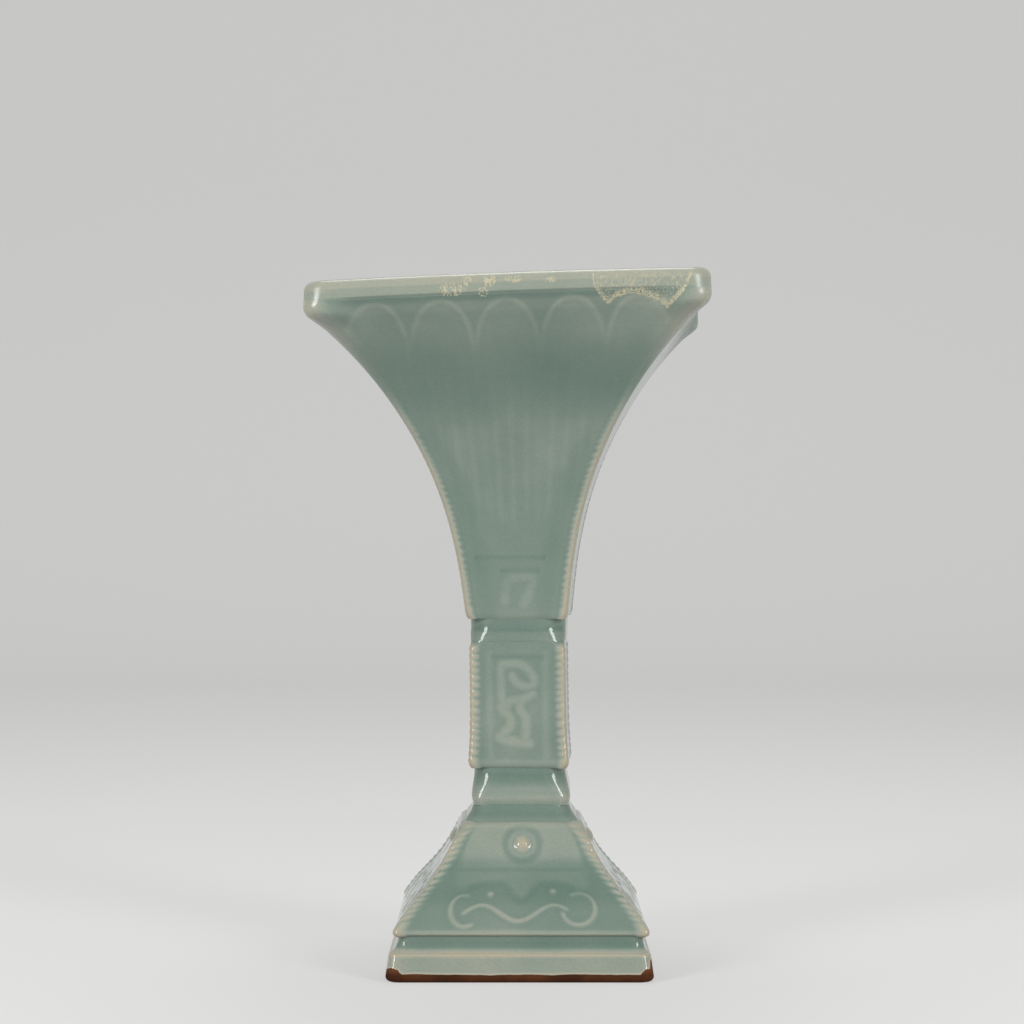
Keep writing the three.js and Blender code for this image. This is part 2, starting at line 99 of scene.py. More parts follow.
camera = placed("camera", bpy.data.cameras.new("camera"))
camera.data.lens = camera.data.sensor_width * FOCAL_LENGTH_PIXELS / PHOTO_PIXELS
camera.location = CAMERA_PLACE
camera.rotation_euler = (math.radians(90), 0, 0)
bpy.context.scene.camera = camera
print("Lens:", round(camera.data.lens, 1), "mm")

# %% [markdown]
# ## What the kiln did
# Slabs soften in the fire, and a heavy mouth on a narrow knop never stays true. The mouth has turned
# a few degrees clockwise against the foot, as the knop below it has. The foot and the waist above it
# sit a little to the right, the mouth leans back to the left, and its rim dips on that side. All pieces
# are modelled straight, and this one function moves their points, so that neighbours stay together.

# %% The kiln's warp
TWISTS = {FLOOR_Z: 0.0, KNOP_Z: -3.0, UPPER_WAIST_Z: -3.1, TRUMPET_Z: -4.2, TOP_Z: -2.3}
LEANS = {
    FOOT_Z - 4 * MM: 0.0, FOOT_Z: 0.45 * MM, FLOOR_Z: 0.7 * MM, LOWER_WAIST_Z + 3 * MM: 0.75 * MM,
    KNOP_Z: 0.5 * MM, UPPER_WAIST_Z: 0.05 * MM, TRUMPET_Z: 0.2 * MM, TOP_Z: -1.7 * MM,
}
RIM_TILT = 0.033
RIM_RISE = 0.35 * MM
RIM_BOW = 0.65 * MM


def ease(value, low, high):
    """Smooth step from 0 at low to 1 at high."""
    share = np.clip((value - low) / (high - low), 0, 1)
    return share * share * (3 - 2 * share)


def graded(value, ends, low, high):
    """Smooth step from the first end, at low, to the second, at high."""
    return ends[0] + (ends[1] - ends[0]) * ease(value, low, high)


def fired(points):
    """Points of the straight vase, moved as the kiln moved them."""
    x, y, z = points[..., 0], points[..., 1], points[..., 2]
    angle = np.radians(np.interp(z, list(TWISTS), list(TWISTS.values())))
    lean = np.interp(z, list(LEANS), list(LEANS.values()))
    turned_x = x * np.cos(angle) - y * np.sin(angle)
    turned_y = x * np.sin(angle) + y * np.cos(angle)
    rise = np.clip((z - TRUMPET_Z) / (TOP_Z - TRUMPET_Z), 0, 1)
    middle = np.clip(1 - np.minimum(np.abs(x), np.abs(y)) ** 2 / MOUTH_HALF ** 2, 0, 1)
    lift = RIM_TILT * turned_x + RIM_RISE + RIM_BOW * middle
    return np.stack([turned_x + lean, turned_y, z + lift * ease(rise, 0, 1)], axis=-1)


print("Twist in degrees at heights in mm:", {round(z / MM): twist for z, twist in TWISTS.items()})

# %% [markdown]
# ## Grids of points
# Every piece here is a grid: rows run along a section drawn from the side, and columns run round the
# vase. Working on whole grids with numpy is fast, and it makes it easy to ask how sharply the surface
# bends at each point. That bend helps to decide how thick the glaze lies.


# %% Grid helpers
def resampled(line, steps):
    """The same line, cut into a number of equal steps."""
    run = np.concatenate([[0], np.cumsum(np.linalg.norm(np.diff(line, axis=0), axis=1))])
    even = np.linspace(0, run[-1], steps + 1)
    return np.column_stack([np.interp(even, run, column) for column in line.T])


def arc(centre, radius, start, end, steps=8):
    """Points of an arc between two angles in degrees. The radius may be a pair."""
    angle = np.radians(np.linspace(start, end, steps + 1))
    across, up = np.broadcast_to(radius, 2)
    return np.column_stack([centre[0] + across * np.cos(angle), centre[1] + up * np.sin(angle)])


def flowing(points, steps=12):
    """A smooth line through points."""
    ends = np.vstack([2 * points[0] - points[1], points, 2 * points[-1] - points[-2]])
    share = np.linspace(0, 1, steps, endpoint=False)[:, None]
    pieces = []
    for a, b, c, d in zip(ends, ends[1:], ends[2:], ends[3:]):
        square = 2 * a - 5 * b + 4 * c - d
        cubic = 3 * (b - c) + d - a
        pieces.append(b + share / 2 * (c - a + share * (square + share * cubic)))
    return np.vstack([*pieces, points[-1:]])


def soft_foot(line, reach, depth):
    """A rising line of (half width, height) whose lower end draws in over a reach, ever faster."""
    low = line[0, 1]
    above = line[line[:, 1] > low + reach]
    heights = np.linspace(low, low + reach, 40)
    half = np.interp(heights, line[:, 1], line[:, 0]) - depth * (1 - (heights - low) / reach) ** 3
    return np.vstack([np.column_stack([half, heights]), above])


def side_plan(half, radius, flat_steps, arc_steps):
    """Plan of the front side from mitre to mitre: x, y, run from the middle, and outward x and y."""
    turn = np.linspace(0, math.pi / 4, arc_steps + 1)[1:]
    angle = np.concatenate([-turn[::-1], np.zeros(flat_steps + 1), turn])
    along = np.concatenate([-np.ones(arc_steps), np.linspace(-1, 1, flat_steps + 1), np.ones(arc_steps)])
    half, radius = np.reshape(half, (-1, 1)), np.reshape(radius, (-1, 1))
    straight = half - radius
    x = straight * along + radius * np.sin(angle)
    y = -straight - radius * np.cos(angle)
    return x, y, straight * along + radius * angle, np.sin(angle), -np.cos(angle)


def quarter_turn(points, count):
    """Points turned about the vase's axis by a number of right angles."""
    cosine, sine = round(math.cos(count * math.pi / 2)), round(math.sin(count * math.pi / 2))
    x, y, z = points[..., 0], points[..., 1], points[..., 2]
    return np.stack([cosine * x - sine * y, sine * x + cosine * y, z], axis=-1)


def padded(values, axis, closed):
    """A grid with one more row or column at each end: wrapped round, or repeated."""
    margin = [(0, 0)] * values.ndim
    margin[axis] = (1, 1)
    return np.pad(values, margin, mode="wrap" if closed else "edge")


def neighbours(values, closed):
    """The four neighbours of each value of a grid: below, above, left and right."""
    rows, columns = padded(values, 0, closed[0]), padded(values, 1, closed[1])
    return rows[:-2], rows[2:], columns[:, :-2], columns[:, 2:]


def normals_of(points, closed=(False, False)):
    """Outward direction at each point of a grid."""
    below, above, left, right = neighbours(points, closed)
    out = np.cross(right - left, above - below)
    return out / np.maximum(np.linalg.norm(out, axis=-1, keepdims=True), 1e-12)


def with_mitres(points):
    """A grid of the front side with one more column at each mitre, mirrored from across it."""
    swapped = points[..., [1, 0, 2]]
    return np.concatenate([swapped[:, 1:2], points, swapped[:, -2:-1] * (-1, -1, 1)], axis=1)


def bend_of(points, closed=(False, False), blur=6):
    """How sharply a grid bulges (above 0) or hollows (below 0) at each point, per millimetre."""
    normals = normals_of(points, closed)
    total = np.zeros(points.shape[:2])
    for other in neighbours(points, closed):
        offset = points - other
        rise = np.sum(offset * normals, axis=-1)
        total += 2 * rise / np.maximum(np.sum(offset * offset, axis=-1), 1e-10)
    bend = np.clip(total / 4 * MM, -1, 1)
    for _ in range(blur):
        bend = (bend + sum(neighbours(bend, closed))) / 5
    return bend


def repeated(values, count):
    """A column of values, repeated over a number of columns."""
    return np.repeat(values[:, None], count, axis=1)


def numbered(grid, first=0):
    """Numbers for the points of a grid, row by row."""
    rows, columns = grid.shape[:2]
    return first + np.arange(rows * columns).reshape(rows, columns)


def grid_faces(index):
    """Quads of a grid of point numbers."""
    quads = [index[:-1, :-1], index[:-1, 1:], index[1:, 1:], index[1:, :-1]]
    return np.stack(quads, axis=-1).reshape(-1, 4).tolist()


print("Side plan of 4 flat and 2 arc steps:", side_plan(0.02, 0.002, 4, 2)[0].shape[1], "columns")

# %% [markdown]
# ## Node trees in a few words
# Blender's node trees, both for shapes and for materials, are long to write out link by link. These
# helpers make a node, set its properties, and fill its inputs by name: a socket is linked, and any other
# value is set on the input itself. A socket knows its tree, so maths on sockets needs no tree named.


# %% Node helpers
def fill(node, inputs):
    """Links sockets to the inputs of a node, and sets any other value on them."""
    for name, value in dict(inputs).items():
        if isinstance(value, bpy.types.NodeSocket):
            node.id_data.links.new(value, node.inputs[name])
        else:
            node.inputs[name].default_value = value


def add(tree, kind, inputs=(), **settings):
    """A new node, with its settings made and its inputs filled."""
    made = tree.nodes.new(kind)
    for name, value in settings.items():
        setattr(made, name, value)
    fill(made, inputs)
    return made


def tree_of(*values):
    """The tree of the first socket among values."""
    return next(value.id_data for value in values if isinstance(value, bpy.types.NodeSocket))


def maths(operation, *values, clamp=False):
    """Output of a maths node on sockets or numbers."""
    settings = {"operation": operation, "use_clamp": clamp}
    return add(tree_of(*values), "ShaderNodeMath", enumerate(values), **settings).outputs[0]


times, plus, minus, over, larger, scaled = (partial(maths, operation) for operation in (
    "MULTIPLY", "ADD", "SUBTRACT", "DIVIDE", "MAXIMUM", "MULTIPLY_ADD",
))


def ramp_between(value, low, high, start=0.0, end=1.0):
    """Output that eases from start, where value is low, to end, where it is high."""
    limits = {"Value": value, "From Min": low, "From Max": high, "To Min": start, "To Max": end}
    made = add(value.id_data, "ShaderNodeMapRange", limits, interpolation_type="SMOOTHSTEP")
    return made.outputs["Result"]


def named(tree, name, kind="FLOAT"):
    """Output that reads one of the mesh's own attributes, in a tree that makes shapes."""
    made = add(tree, "GeometryNodeInputNamedAttribute", {"Name": name}, data_type=kind)
    return made.outputs["Attribute"]


# %% [markdown]
# ## A tree that presses clay
# The slabs get their ornament from a carved mould, so the tree works as a mould does. A pattern is
# drawn flat, as plain lines, filled shapes or points. For each point of the slab the tree measures
# the distance to the pattern, and eases from a mark's full height at its crest to nothing at its foot.
# Each slab carries its own flat address in the attribute "sheet", so one drawing serves a curved face.
#
# The corner edges are cut by rule: a raised flange, and notches across it at an even pitch. At the
# end the heights are blurred, because a thick glaze fills and softens everything that was pressed.

# %% Pressed marks
MARKS = {
    "Lines": "EDGES",
    "Veins": "EDGES",
    "Strokes": "EDGES",
    "Grooves": "EDGES",
    "Field": "FACES",
    "Boss": "POINTS",
    "Eyes": "POINTS",
}
FADES = {"Lines": "fade", "Field": "fade", "Veins": "fade_veins"}
MARK_SIZES = ("height", "crest", "foot")
EDGE_SIZES = ("Flange height", "Flange width", "Notch pitch", "Notch depth", "Notch half width",
              "Notch inset", "Notch reach", "Notch start", "Notch end", "Border")
FADE_NAMES = ("fade", "fade_veins", "fade_edge", "fade_flange")
NOTCH_ENTRY = 0.4
BORDER_START = 0.6
FLANGE_CREST = 0.2
GLAZE_FILL = 3


def mark_height(tree, given, mark):
    """Output with the height of one kind of mark."""
    drawn = add(tree, "GeometryNodeObjectInfo", {"Object": given[f"{mark} pattern"]})
    near = add(tree, "GeometryNodeProximity", {
        "Geometry": drawn.outputs["Geometry"],
        "Sample Position": named(tree, "sheet", "FLOAT_VECTOR"),
    }, target_element=MARKS[mark])
    height, crest, foot = (given[f"{mark} {size}"] for size in MARK_SIZES)
    raised = ramp_between(near.outputs["Distance"], crest, foot, height, 0.0)
    raised = times(raised, near.outputs["Is Valid"])
    if mark in FADES:
        raised = times(raised, named(tree, FADES[mark]))
    return raised


def notch_depth(given, inset, rise):
    """Output with the depth of the notches that cross the corner edges."""
    place = over(minus(rise, given["Notch start"]), given["Notch pitch"])
    off = maths("ABSOLUTE", minus(maths("FRACT", place), 0.5))
    away = times(off, given["Notch pitch"])
    cut = ramp_between(away, 0.0, given["Notch half width"], given["Notch depth"], 0.0)
    start = times(given["Notch inset"], NOTCH_ENTRY)
    cut = times(cut, ramp_between(inset, start, given["Notch inset"]))
    cut = times(cut, ramp_between(inset, given["Notch inset"], given["Notch reach"], 1.0, 0.0))
    above = maths("GREATER_THAN", rise, given["Notch start"])
    below = maths("LESS_THAN", rise, given["Notch end"])
    return times(cut, times(above, below))


def pressed_slab_tree():
    """Tree that presses the patterns into a slab, and cuts its corner edges."""
    tree = bpy.data.node_groups.new("Pressed slab", "GeometryNodeTree")
    inputs = [("Geometry", "Geometry"), ("Glaze", "Material")]
    for mark in MARKS:
        inputs.append((f"{mark} pattern", "Object"))
        inputs.extend((f"{mark} {size}", "Float") for size in MARK_SIZES)
    inputs.extend((size, "Float") for size in EDGE_SIZES)
    for name, kind in inputs:
        tree.interface.new_socket(name, in_out="INPUT", socket_type=f"NodeSocket{kind}")
    tree.interface.new_socket("Geometry", in_out="OUTPUT", socket_type="NodeSocketGeometry")
    given = add(tree, "NodeGroupInput").outputs
    inset = named(tree, "inset")
    raised = 0.0
    for mark in MARKS:
        raised = plus(raised, mark_height(tree, given, mark))
    inner = times(given["Border"], BORDER_START)
    raised = times(raised, ramp_between(inset, inner, given["Border"]))
    slope = times(given["Flange width"], FLANGE_CREST)
    flange = ramp_between(inset, slope, given["Flange width"], given["Flange height"], 0.0)
    flange = times(flange, named(tree, "fade_flange"))
    cut = times(notch_depth(given, inset, named(tree, "edge_run")), named(tree, "fade_edge"))
    height = minus(plus(raised, flange), cut)
    blurred = add(tree, "GeometryNodeBlurAttribute", {"Value": height, "Iterations": GLAZE_FILL})
    height = blurred.outputs["Value"]
    offset = add(tree, "ShaderNodeVectorMath", {
        "Vector": named(tree, "out", "FLOAT_VECTOR"), "Scale": height,
    }, operation="SCALE")
    pressed = add(tree, "GeometryNodeSetPosition", {
        "Geometry": given["Geometry"], "Offset": offset.outputs["Vector"],
    })
    kept = add(tree, "GeometryNodeStoreNamedAttribute", {
        "Geometry": pressed.outputs["Geometry"], "Name": "relief", "Value": over(height, MM),
    })
    real = add(tree, "GeometryNodeRealizeInstances", {"Geometry": kept.outputs["Geometry"]})
    glazed = add(tree, "GeometryNodeSetMaterial", {
        "Geometry": real.outputs["Geometry"], "Material": given["Glaze"],
    })
    add(tree, "NodeGroupOutput", {"Geometry": glazed.outputs["Geometry"]})
    return tree


slab_tree = pressed_slab_tree()
print("Pressed slab tree:", len(slab_tree.nodes), "nodes")

# %% [markdown]
# ## The glaze
# Celadon is a glass tinted by a trace of iron. Where it lies thick it is a deep grey-green, and where
# it runs thin over an edge the pale body shows through as cream. So the colour is a ramp over the
# glaze's thickness. The thickness comes from the "bend" of each grid, from the "relief" attribute and
# from a slow drift over the whole vase. The "relief" attribute holds the height of the pressed marks and
# places of thin and pooled glaze, and on some pieces painted shade and a painted highlight: shade in the
# crease under the lip, in a band across the trumpet and on the waists, and a highlight on the lower
# waist's roll. A fine fleck of bubbles mottles the colour.

# %% Celadon
THINNED_BY_BEND = 0.50
LOW_MARK, HIGH_MARK = -0.35, 0.45
POOLED_LOW, THINNED_HIGH = 0.16, -0.22
MIDDLE_THICKNESS = 0.50
DRIFT, DRIFT_SCALE = 0.30, 38
FLECK, FLECK_SCALE = 0.24, 1500
WAVE_SCALE, PORE_SCALE = 210, 1100
PORE_SHARE = 0.12
WAVE_STRENGTH, WAVE_HEIGHT = 0.1, 0.25 * MM
GLAZE_ROUGHNESS = (0.07, 0.12)
GLAZE_IOR = 1.5
GLAZE_TONES = (
    (0.00, (0.500, 0.430, 0.300)),
    (0.12, (0.470, 0.430, 0.320)),
    (0.27, (0.390, 0.405, 0.330)),
    (0.40, (0.290, 0.345, 0.285)),
    (0.52, (0.205, 0.272, 0.225)),
    (0.68, (0.150, 0.225, 0.184)),
    (1.00, (0.095, 0.165, 0.132)),
)


def noise(place, scale, detail=2.0):
    """Output of a noise texture, from 0 to 1 about 0.5."""
    settings = {"Vector": place, "Scale": scale, "Detail": detail}
    return add(place.id_data, "ShaderNodeTexNoise", settings).outputs["Fac"]


def read(tree, name):
    """Output that reads one of the mesh's own attributes, in a material."""
    return add(tree, "ShaderNodeAttribute", attribute_name=name).outputs["Fac"]


def mixed(share, first, second, blend="MIX"):
    """Output of a colour mix, whose sockets are found by number."""
    tree = tree_of(share, first, second)
    values = {0: share, 6: first, 7: second}
    return add(tree, "ShaderNodeMix", values, data_type="RGBA", blend_type=blend).outputs[2]


def axes(place):
    """Outputs with the X, Y and Z of a place."""
    return add(place.id_data, "ShaderNodeSeparateXYZ", {"Vector": place}).outputs


def colour_steps(value, steps):
    """Output of a colour ramp through steps of (position, colour)."""
    ramp = add(value.id_data, "ShaderNodeValToRGB", {"Fac": value})
    stops = ramp.color_ramp.elements
    for _ in steps[2:]:
        stops.new(0.5)
    for stop, (position, tone) in zip(stops, steps):
        stop.position = position
        stop.color = (*tone, 1)
    return ramp.outputs["Color"]


def bumped(height, strength, distance):
    """Output with the directions of a surface that a fine relief bends."""
    settings = {"Height": height, "Strength": strength, "Distance": distance}
    return add(height.id_data, "ShaderNodeBump", settings).outputs["Normal"]


def new_material(name):
    """A material whose nodes are still to be made, with its shader."""
    material = bpy.data.materials.new(name)
    material.use_nodes = True
    return material, material.node_tree.nodes["Principled BSDF"]


def place_on(shader):
    """Output with the place on the vase, for a shader."""
    return add(shader.id_data, "ShaderNodeTexCoord").outputs["Object"]


def glaze_colour(place):
    """Output with the colour of the glaze at its thickness."""
    tree = place.id_data
    # The "relief" attribute holds the pressed marks, and on some pieces painted shade and highlight.
    marks = ramp_between(read(tree, "relief"), LOW_MARK, HIGH_MARK, POOLED_LOW, THINNED_HIGH)
    drift = scaled(noise(place, DRIFT_SCALE, 3.0), DRIFT, MIDDLE_THICKNESS - DRIFT / 2)
    thinned = times(read(tree, "bend"), THINNED_BY_BEND)
    thickness = minus(plus(drift, marks), thinned, clamp=True)
    tone = colour_steps(thickness, GLAZE_TONES)
    fleck = scaled(noise(place, FLECK_SCALE), FLECK, 1 - FLECK / 2)
    shade = add(tree, "ShaderNodeCombineColor", {"Red": fleck, "Green": fleck, "Blue": fleck})
    return mixed(1.0, tone, shade.outputs["Color"], "MULTIPLY")


def glassy(shader, place, colour):
    """Finishes a shader as glossy glaze, with the faint waves of a melt."""
    waves = noise(place, WAVE_SCALE, 1.0)
    pores = noise(place, PORE_SCALE)
    height = scaled(pores, PORE_SHARE, waves)
    fill(shader, {
        "Base Color": colour,
        "Normal": bumped(height, WAVE_STRENGTH, WAVE_HEIGHT),
        "Roughness": ramp_between(waves, 0.3, 0.7, *GLAZE_ROUGHNESS),
        "IOR": GLAZE_IOR,
    })


def celadon_glaze():
    """Plain glaze, for most of the vase."""
    material, shader = new_material("celadon_glaze")
    place = place_on(shader)
    glassy(shader, place, glaze_colour(place))
    return material


celadon = celadon_glaze()
print("Glaze:", len(celadon.node_tree.nodes), "nodes")

# %% [markdown]
# ## Crawled glaze below the lip
# On two stretches of the front lip the glaze has crawled into a fine cream lace. Its place on the vase
# is fixed, so the material finds it by Object coordinates. The threads of the lace are lines of equal
# value in a noise, stretched upright because the glaze ran down. On the left it lies in a few spots. On
# the right it fills the lip, and ends in a dense scalloped border, whose height is a ramp over the width.

# %% Crawled celadon
CRAWL_TONE = (0.60, 0.55, 0.38, 1)
CRAWL_FRONT = -35 * MM
CRAWL_SPOTS = (
    ((-20.0, 205.6), (3.8, 1.9)), ((-15.4, 208.2), (1.3, 1.7)), ((-10.7, 205.0), (1.5, 1.4)),
    ((-8.7, 208.2), (1.9, 1.8)), ((-2.0, 208.6), (2.6, 1.0)), ((8.6, 208.4), (2.2, 0.8)),
)
CRAWL_RANGE = (20 * MM, 52 * MM)
CRAWL_LOW, CRAWL_HIGH = 198 * MM, 212 * MM
CRAWL_END = {
    20.4: 212.0, 21.6: 206.0, 23.8: 202.9, 26.0: 201.4, 27.9: 203.2, 31.3: 204.1, 33.7: 204.3, 36.3: 203.8,
    38.8: 202.9, 40.8: 202.0, 43.0: 200.0, 45.2: 202.3, 47.5: 204.7, 49.2: 208.2, 50.6: 212.0,
}
CRAWL_BORDER = 2.6 * MM
CRAWL_TOP = (209.6 * MM, 211.2 * MM)
CRAWL_STRETCH = (1.0, 1.0, 0.5)
SPOT_EDGE = (0.7, 1.2)
SPOT_RAGGED = 0.6 / MM
RAGGED, RAGGED_SCALE = 2.4 * MM, 900
THREAD = 0.045
LACE_SCALE, DENSE_SCALE = 950, 1300
SPARSE = 0.5
DULL_LIP = (LIP_Z - 6 * MM, LIP_Z + 3 * MM)
DULL_ROUGHNESS = (0.1, 0.3)


def threads(place, scale, width):
    """Output that is 1 on fine wandering lines and 0 between them."""
    off = maths("ABSOLUTE", minus(noise(place, scale, 1.5), 0.5))
    return ramp_between(off, width / 2, width, 1.0, 0.0)


def oval_reach(at, middle, halves, start=0.0):
    """Output that grows as a square from a start in the middle of an oval to 1 more on its edge."""
    reach = start
    for axis, place, half in zip("XZ", middle, halves):
        share = over(minus(at[axis], place), half)
        reach = scaled(share, share, reach)
    return reach


def crawl_spots(at, ragged):
    """Output that is 1 in the spots on the left."""
    inside = 0.0
    for (x, z), (half_width, half_height) in CRAWL_SPOTS:
        reach = oval_reach(at, (x * MM, z * MM), (half_width * MM, half_height * MM))
        reach = scaled(ragged, SPOT_RAGGED, reach)
        spot = ramp_between(reach, *SPOT_EDGE, 1.0, 0.0)
        inside = larger(inside, spot)
    return inside


def crawl_height(at, ragged):
    """Output with the height above the scalloped border on the right, in metres."""
    start, end = CRAWL_RANGE
    rise = CRAWL_HIGH - CRAWL_LOW
    across = scaled(ragged, 0.5, at["X"])
    share = over(minus(across, start), end - start)
    steps = []
    for x, z in CRAWL_END.items():
        steps.append(((x * MM - start) / (end - start), [(z * MM - CRAWL_LOW) / rise] * 3))
    low = scaled(colour_steps(share, steps), rise, CRAWL_LOW)
    return minus(scaled(ragged, 0.5, at["Z"]), low)


def crawl_mask(place):
    """Output that is 1 on the crawled lace and 0 elsewhere."""
    at = axes(place)
    ragged = scaled(noise(place, RAGGED_SCALE), RAGGED, -RAGGED / 2)
    factors = {0: place, 1: CRAWL_STRETCH}
    upright = add(place.id_data, "ShaderNodeVectorMath", factors, operation="MULTIPLY").outputs[0]
    fine = threads(upright, LACE_SCALE, THREAD)
    above = crawl_height(at, ragged)
    inside = ramp_between(above, 0.0, 0.25 * MM)
    border = times(inside, ramp_between(above, 0.5 * CRAWL_BORDER, CRAWL_BORDER, 1.0, 0.0))
    dense = larger(fine, threads(place, DENSE_SCALE, 2 * THREAD))
    sparse = times(times(fine, inside), SPARSE)
    right = larger(times(dense, border), sparse)
    left = times(crawl_spots(at, ragged), threads(upright, LACE_SCALE, 1.5 * THREAD))
    lace = larger(left, right)
    below_top = ramp_between(at["Z"], *CRAWL_TOP, 1.0, 0.0)
    front = times(below_top, maths("LESS_THAN", at["Y"], CRAWL_FRONT))
    return times(lace, front)


def crawled_glaze():
    """Glaze of the mouth, with the crawled lace on its front and a duller lip."""
    material, shader = new_material("celadon_crawled")
    place = place_on(shader)
    glassy(shader, place, mixed(crawl_mask(place), glaze_colour(place), CRAWL_TONE))
    fill(shader, {"Roughness": ramp_between(axes(place)["Z"], *DULL_LIP, *DULL_ROUGHNESS)})
    return material


crawled = crawled_glaze()
print("Crawled glaze:", len(crawled.node_tree.nodes), "nodes")

# %% [markdown]
# ## Bare clay
# The potter wiped the glaze from the edge that stands in the kiln, and there the clay burnt brown.
# The line is uneven, with a thin pale edge of glaze above it, and at the two front corners the glaze
# has chipped, so more clay shows. The foot's slabs and coils are bare on the inside.

# %% Bare clay and the plinth's glaze
CLAY_DARK = (0.049, 0.016, 0.005, 1)
CLAY_WARM = (0.096, 0.032, 0.011, 1)
CLAY_ORANGE = (0.166, 0.062, 0.027, 1)
CLAY_RANGE = (2.0 * MM, 4.4 * MM)
BURN_SCALE, BURN_RANGE = 90, (0.34, 0.66)
ORANGE_SHARE = 0.85
GRIT_SCALE = 900
GRIT_STRENGTH, GRIT_HEIGHT = 0.5, 0.3 * MM
CLAY_ROUGHNESS = (0.65, 0.9)
BARE_EDGE = 2.6 * MM
EDGE_WANDER, EDGE_SCALE = 1.6 * MM, 75
THIN_TONE = (0.52, 0.48, 0.37, 1)
THIN_WIDTH, THIN_SHARE = 0.8 * MM, 0.85
EDGE_BLUR = 0.1 * MM
GLAZED_ROUGH, BARE_ROUGH = 0.1, 0.8
GLAZED_SHINE, BARE_SHINE = 0.5, 0.15
CHIPS = (
    ((-38.2 * MM, 2.4 * MM), (3.0 * MM, 2.2 * MM)),
    ((40.5 * MM, 4.4 * MM), (1.6 * MM, 2.7 * MM)),
    ((38.9 * MM, 2.4 * MM), (3.0 * MM, 2.0 * MM)),
)
CHIP_FRONT = -34 * MM
CHIP_SCALE = 330


def clay_colour(place):
    """Output with the mottled brown of burnt clay, darkest on the edge that stood in the kiln."""
    burnt = ramp_between(noise(place, BURN_SCALE, 6.0), *BURN_RANGE)
    edge = mixed(burnt, CLAY_DARK, CLAY_WARM)
    orange = ramp_between(axes(place)["Z"], *CLAY_RANGE, 0.0, ORANGE_SHARE)
    return mixed(orange, edge, CLAY_ORANGE)


def bare_clay():
    """Rough unglazed clay."""
    material, shader = new_material("bare_clay")
    place = place_on(shader)
    grit = noise(place, GRIT_SCALE, 3.0)
    fill(shader, {
        "Base Color": clay_colour(place),
        "Normal": bumped(grit, GRIT_STRENGTH, GRIT_HEIGHT),
        "Roughness": ramp_between(grit, 0.2, 0.8, *CLAY_ROUGHNESS),
    })
    return material


def bare_height(place):
    """Output with the height above the glaze's wandering edge, in metres: below 0 the clay is bare."""
    at = axes(place)
    wander = scaled(noise(place, EDGE_SCALE, 5.0), EDGE_WANDER, BARE_EDGE - EDGE_WANDER / 2)
    height = minus(at["Z"], wander)
    ragged = scaled(noise(place, CHIP_SCALE, 4.0), 2.0, -1.0)
    behind = ramp_between(at["Y"], CHIP_FRONT - 1 * MM, CHIP_FRONT, 0.0, 10.0)
    for middle, halves in CHIPS:
        reach = plus(oval_reach(at, middle, halves, behind), ragged)
        chip = times(minus(reach, 1.0), halves[0] / 2)
        height = maths("MINIMUM", height, chip)
    return height


def plinth_glaze():
    """Glaze of the plinth, wiped off its standing edge."""
    material, shader = new_material("celadon_wiped")
    place = place_on(shader)
    height = bare_height(place)
    bare = ramp_between(height, -EDGE_BLUR, EDGE_BLUR, 1.0, 0.0)
    thin = ramp_between(height, EDGE_BLUR, THIN_WIDTH, THIN_SHARE, 0.0)
    glaze = mixed(thin, glaze_colour(place), THIN_TONE)
    glassy(shader, place, mixed(bare, glaze, clay_colour(place)))
    fill(shader, {
        "Roughness": scaled(bare, BARE_ROUGH - GLAZED_ROUGH, GLAZED_ROUGH),
        "Specular IOR Level": scaled(bare, BARE_SHINE - GLAZED_SHINE, GLAZED_SHINE),
    })
    return material


clay = bare_clay()
wiped = plinth_glaze()
print("Clay:", len(clay.node_tree.nodes), "nodes; plinth:", len(wiped.node_tree.nodes), "nodes")

# %% [markdown]
# ## From grids to pieces
# A piece is made from points and faces, gets its attributes for the glaze, and rides on the vase's one
# body in the place of a CAD piece. Directions are given to the mesh point by point, so that two slabs
# that meet at a mitre shade as one rounded corner.


# %% Piece helper
def new_piece(node, points, faces, normals, attributes, materials, material_numbers=None):
    """A mesh in place of a CAD node, with its attributes, directions and materials."""
    mesh = bpy.data.meshes.new(node)
    mesh.from_pydata(points.tolist(), [], faces)
    for material in materials:
        mesh.materials.append(material)
    if material_numbers is not None:
        mesh.polygons.foreach_set("material_index", material_numbers)
    for name, values in attributes.items():
        mesh.attributes.new(name, "FLOAT", "POINT").data.foreach_set("value", values)
    mesh.shade_smooth()
    mesh.normals_split_custom_set_from_vertices(normals.tolist())
    piece = placed(f"glazed_{node}", mesh)
    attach(piece, "root")
    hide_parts(node)
    return piece


# %% [markdown]
# ## A pressed slab
# Each section has four alike slabs. Its blank is a fine grid with rounded corner edges, which the
# tree above presses. The notches were cut by eye, a little aslant, so their places wander. The pressed
# face is then turned to the four sides, fired, and closed by an inner face and its rims. The inner face
# is plain, so a quarter of the rows and columns is enough.

# %% Slab helpers
SIDES = ("front", "right", "back", "left")
SEAMS = ("front_right", "back_right", "back_left", "front_left")
INNER_STRIDE = 4
WALL = 5 * MM
NOTCH_WAVES = (6.1 * MM, 2.9 * MM)
NOTCH_WANDER = 0.40 * MM
NOTCH_SLANT = 0.45


class Section:
    """One storey of slabs: its outline from the side, its inner line, corners and fineness."""

    def __init__(self, name, outline, inner, corner, flat_steps, rows, arc_steps=8):
        self.name = name
        self.line = resampled(outline, rows)
        self.inner = resampled(inner, rows)
        self.run = np.concatenate([[0], np.cumsum(np.linalg.norm(np.diff(self.line, axis=0), axis=1))])
        self.corner = corner(self.line[:, 1])
        self.flat_steps = flat_steps
        self.arc_steps = arc_steps

    def sheet(self, points):
        """Places (across, height) on the front, as flat addresses on the slab."""
        points = np.asarray(points, float)
        return np.column_stack([points[:, 0], np.interp(points[:, 1], self.line[:, 1], self.run)])


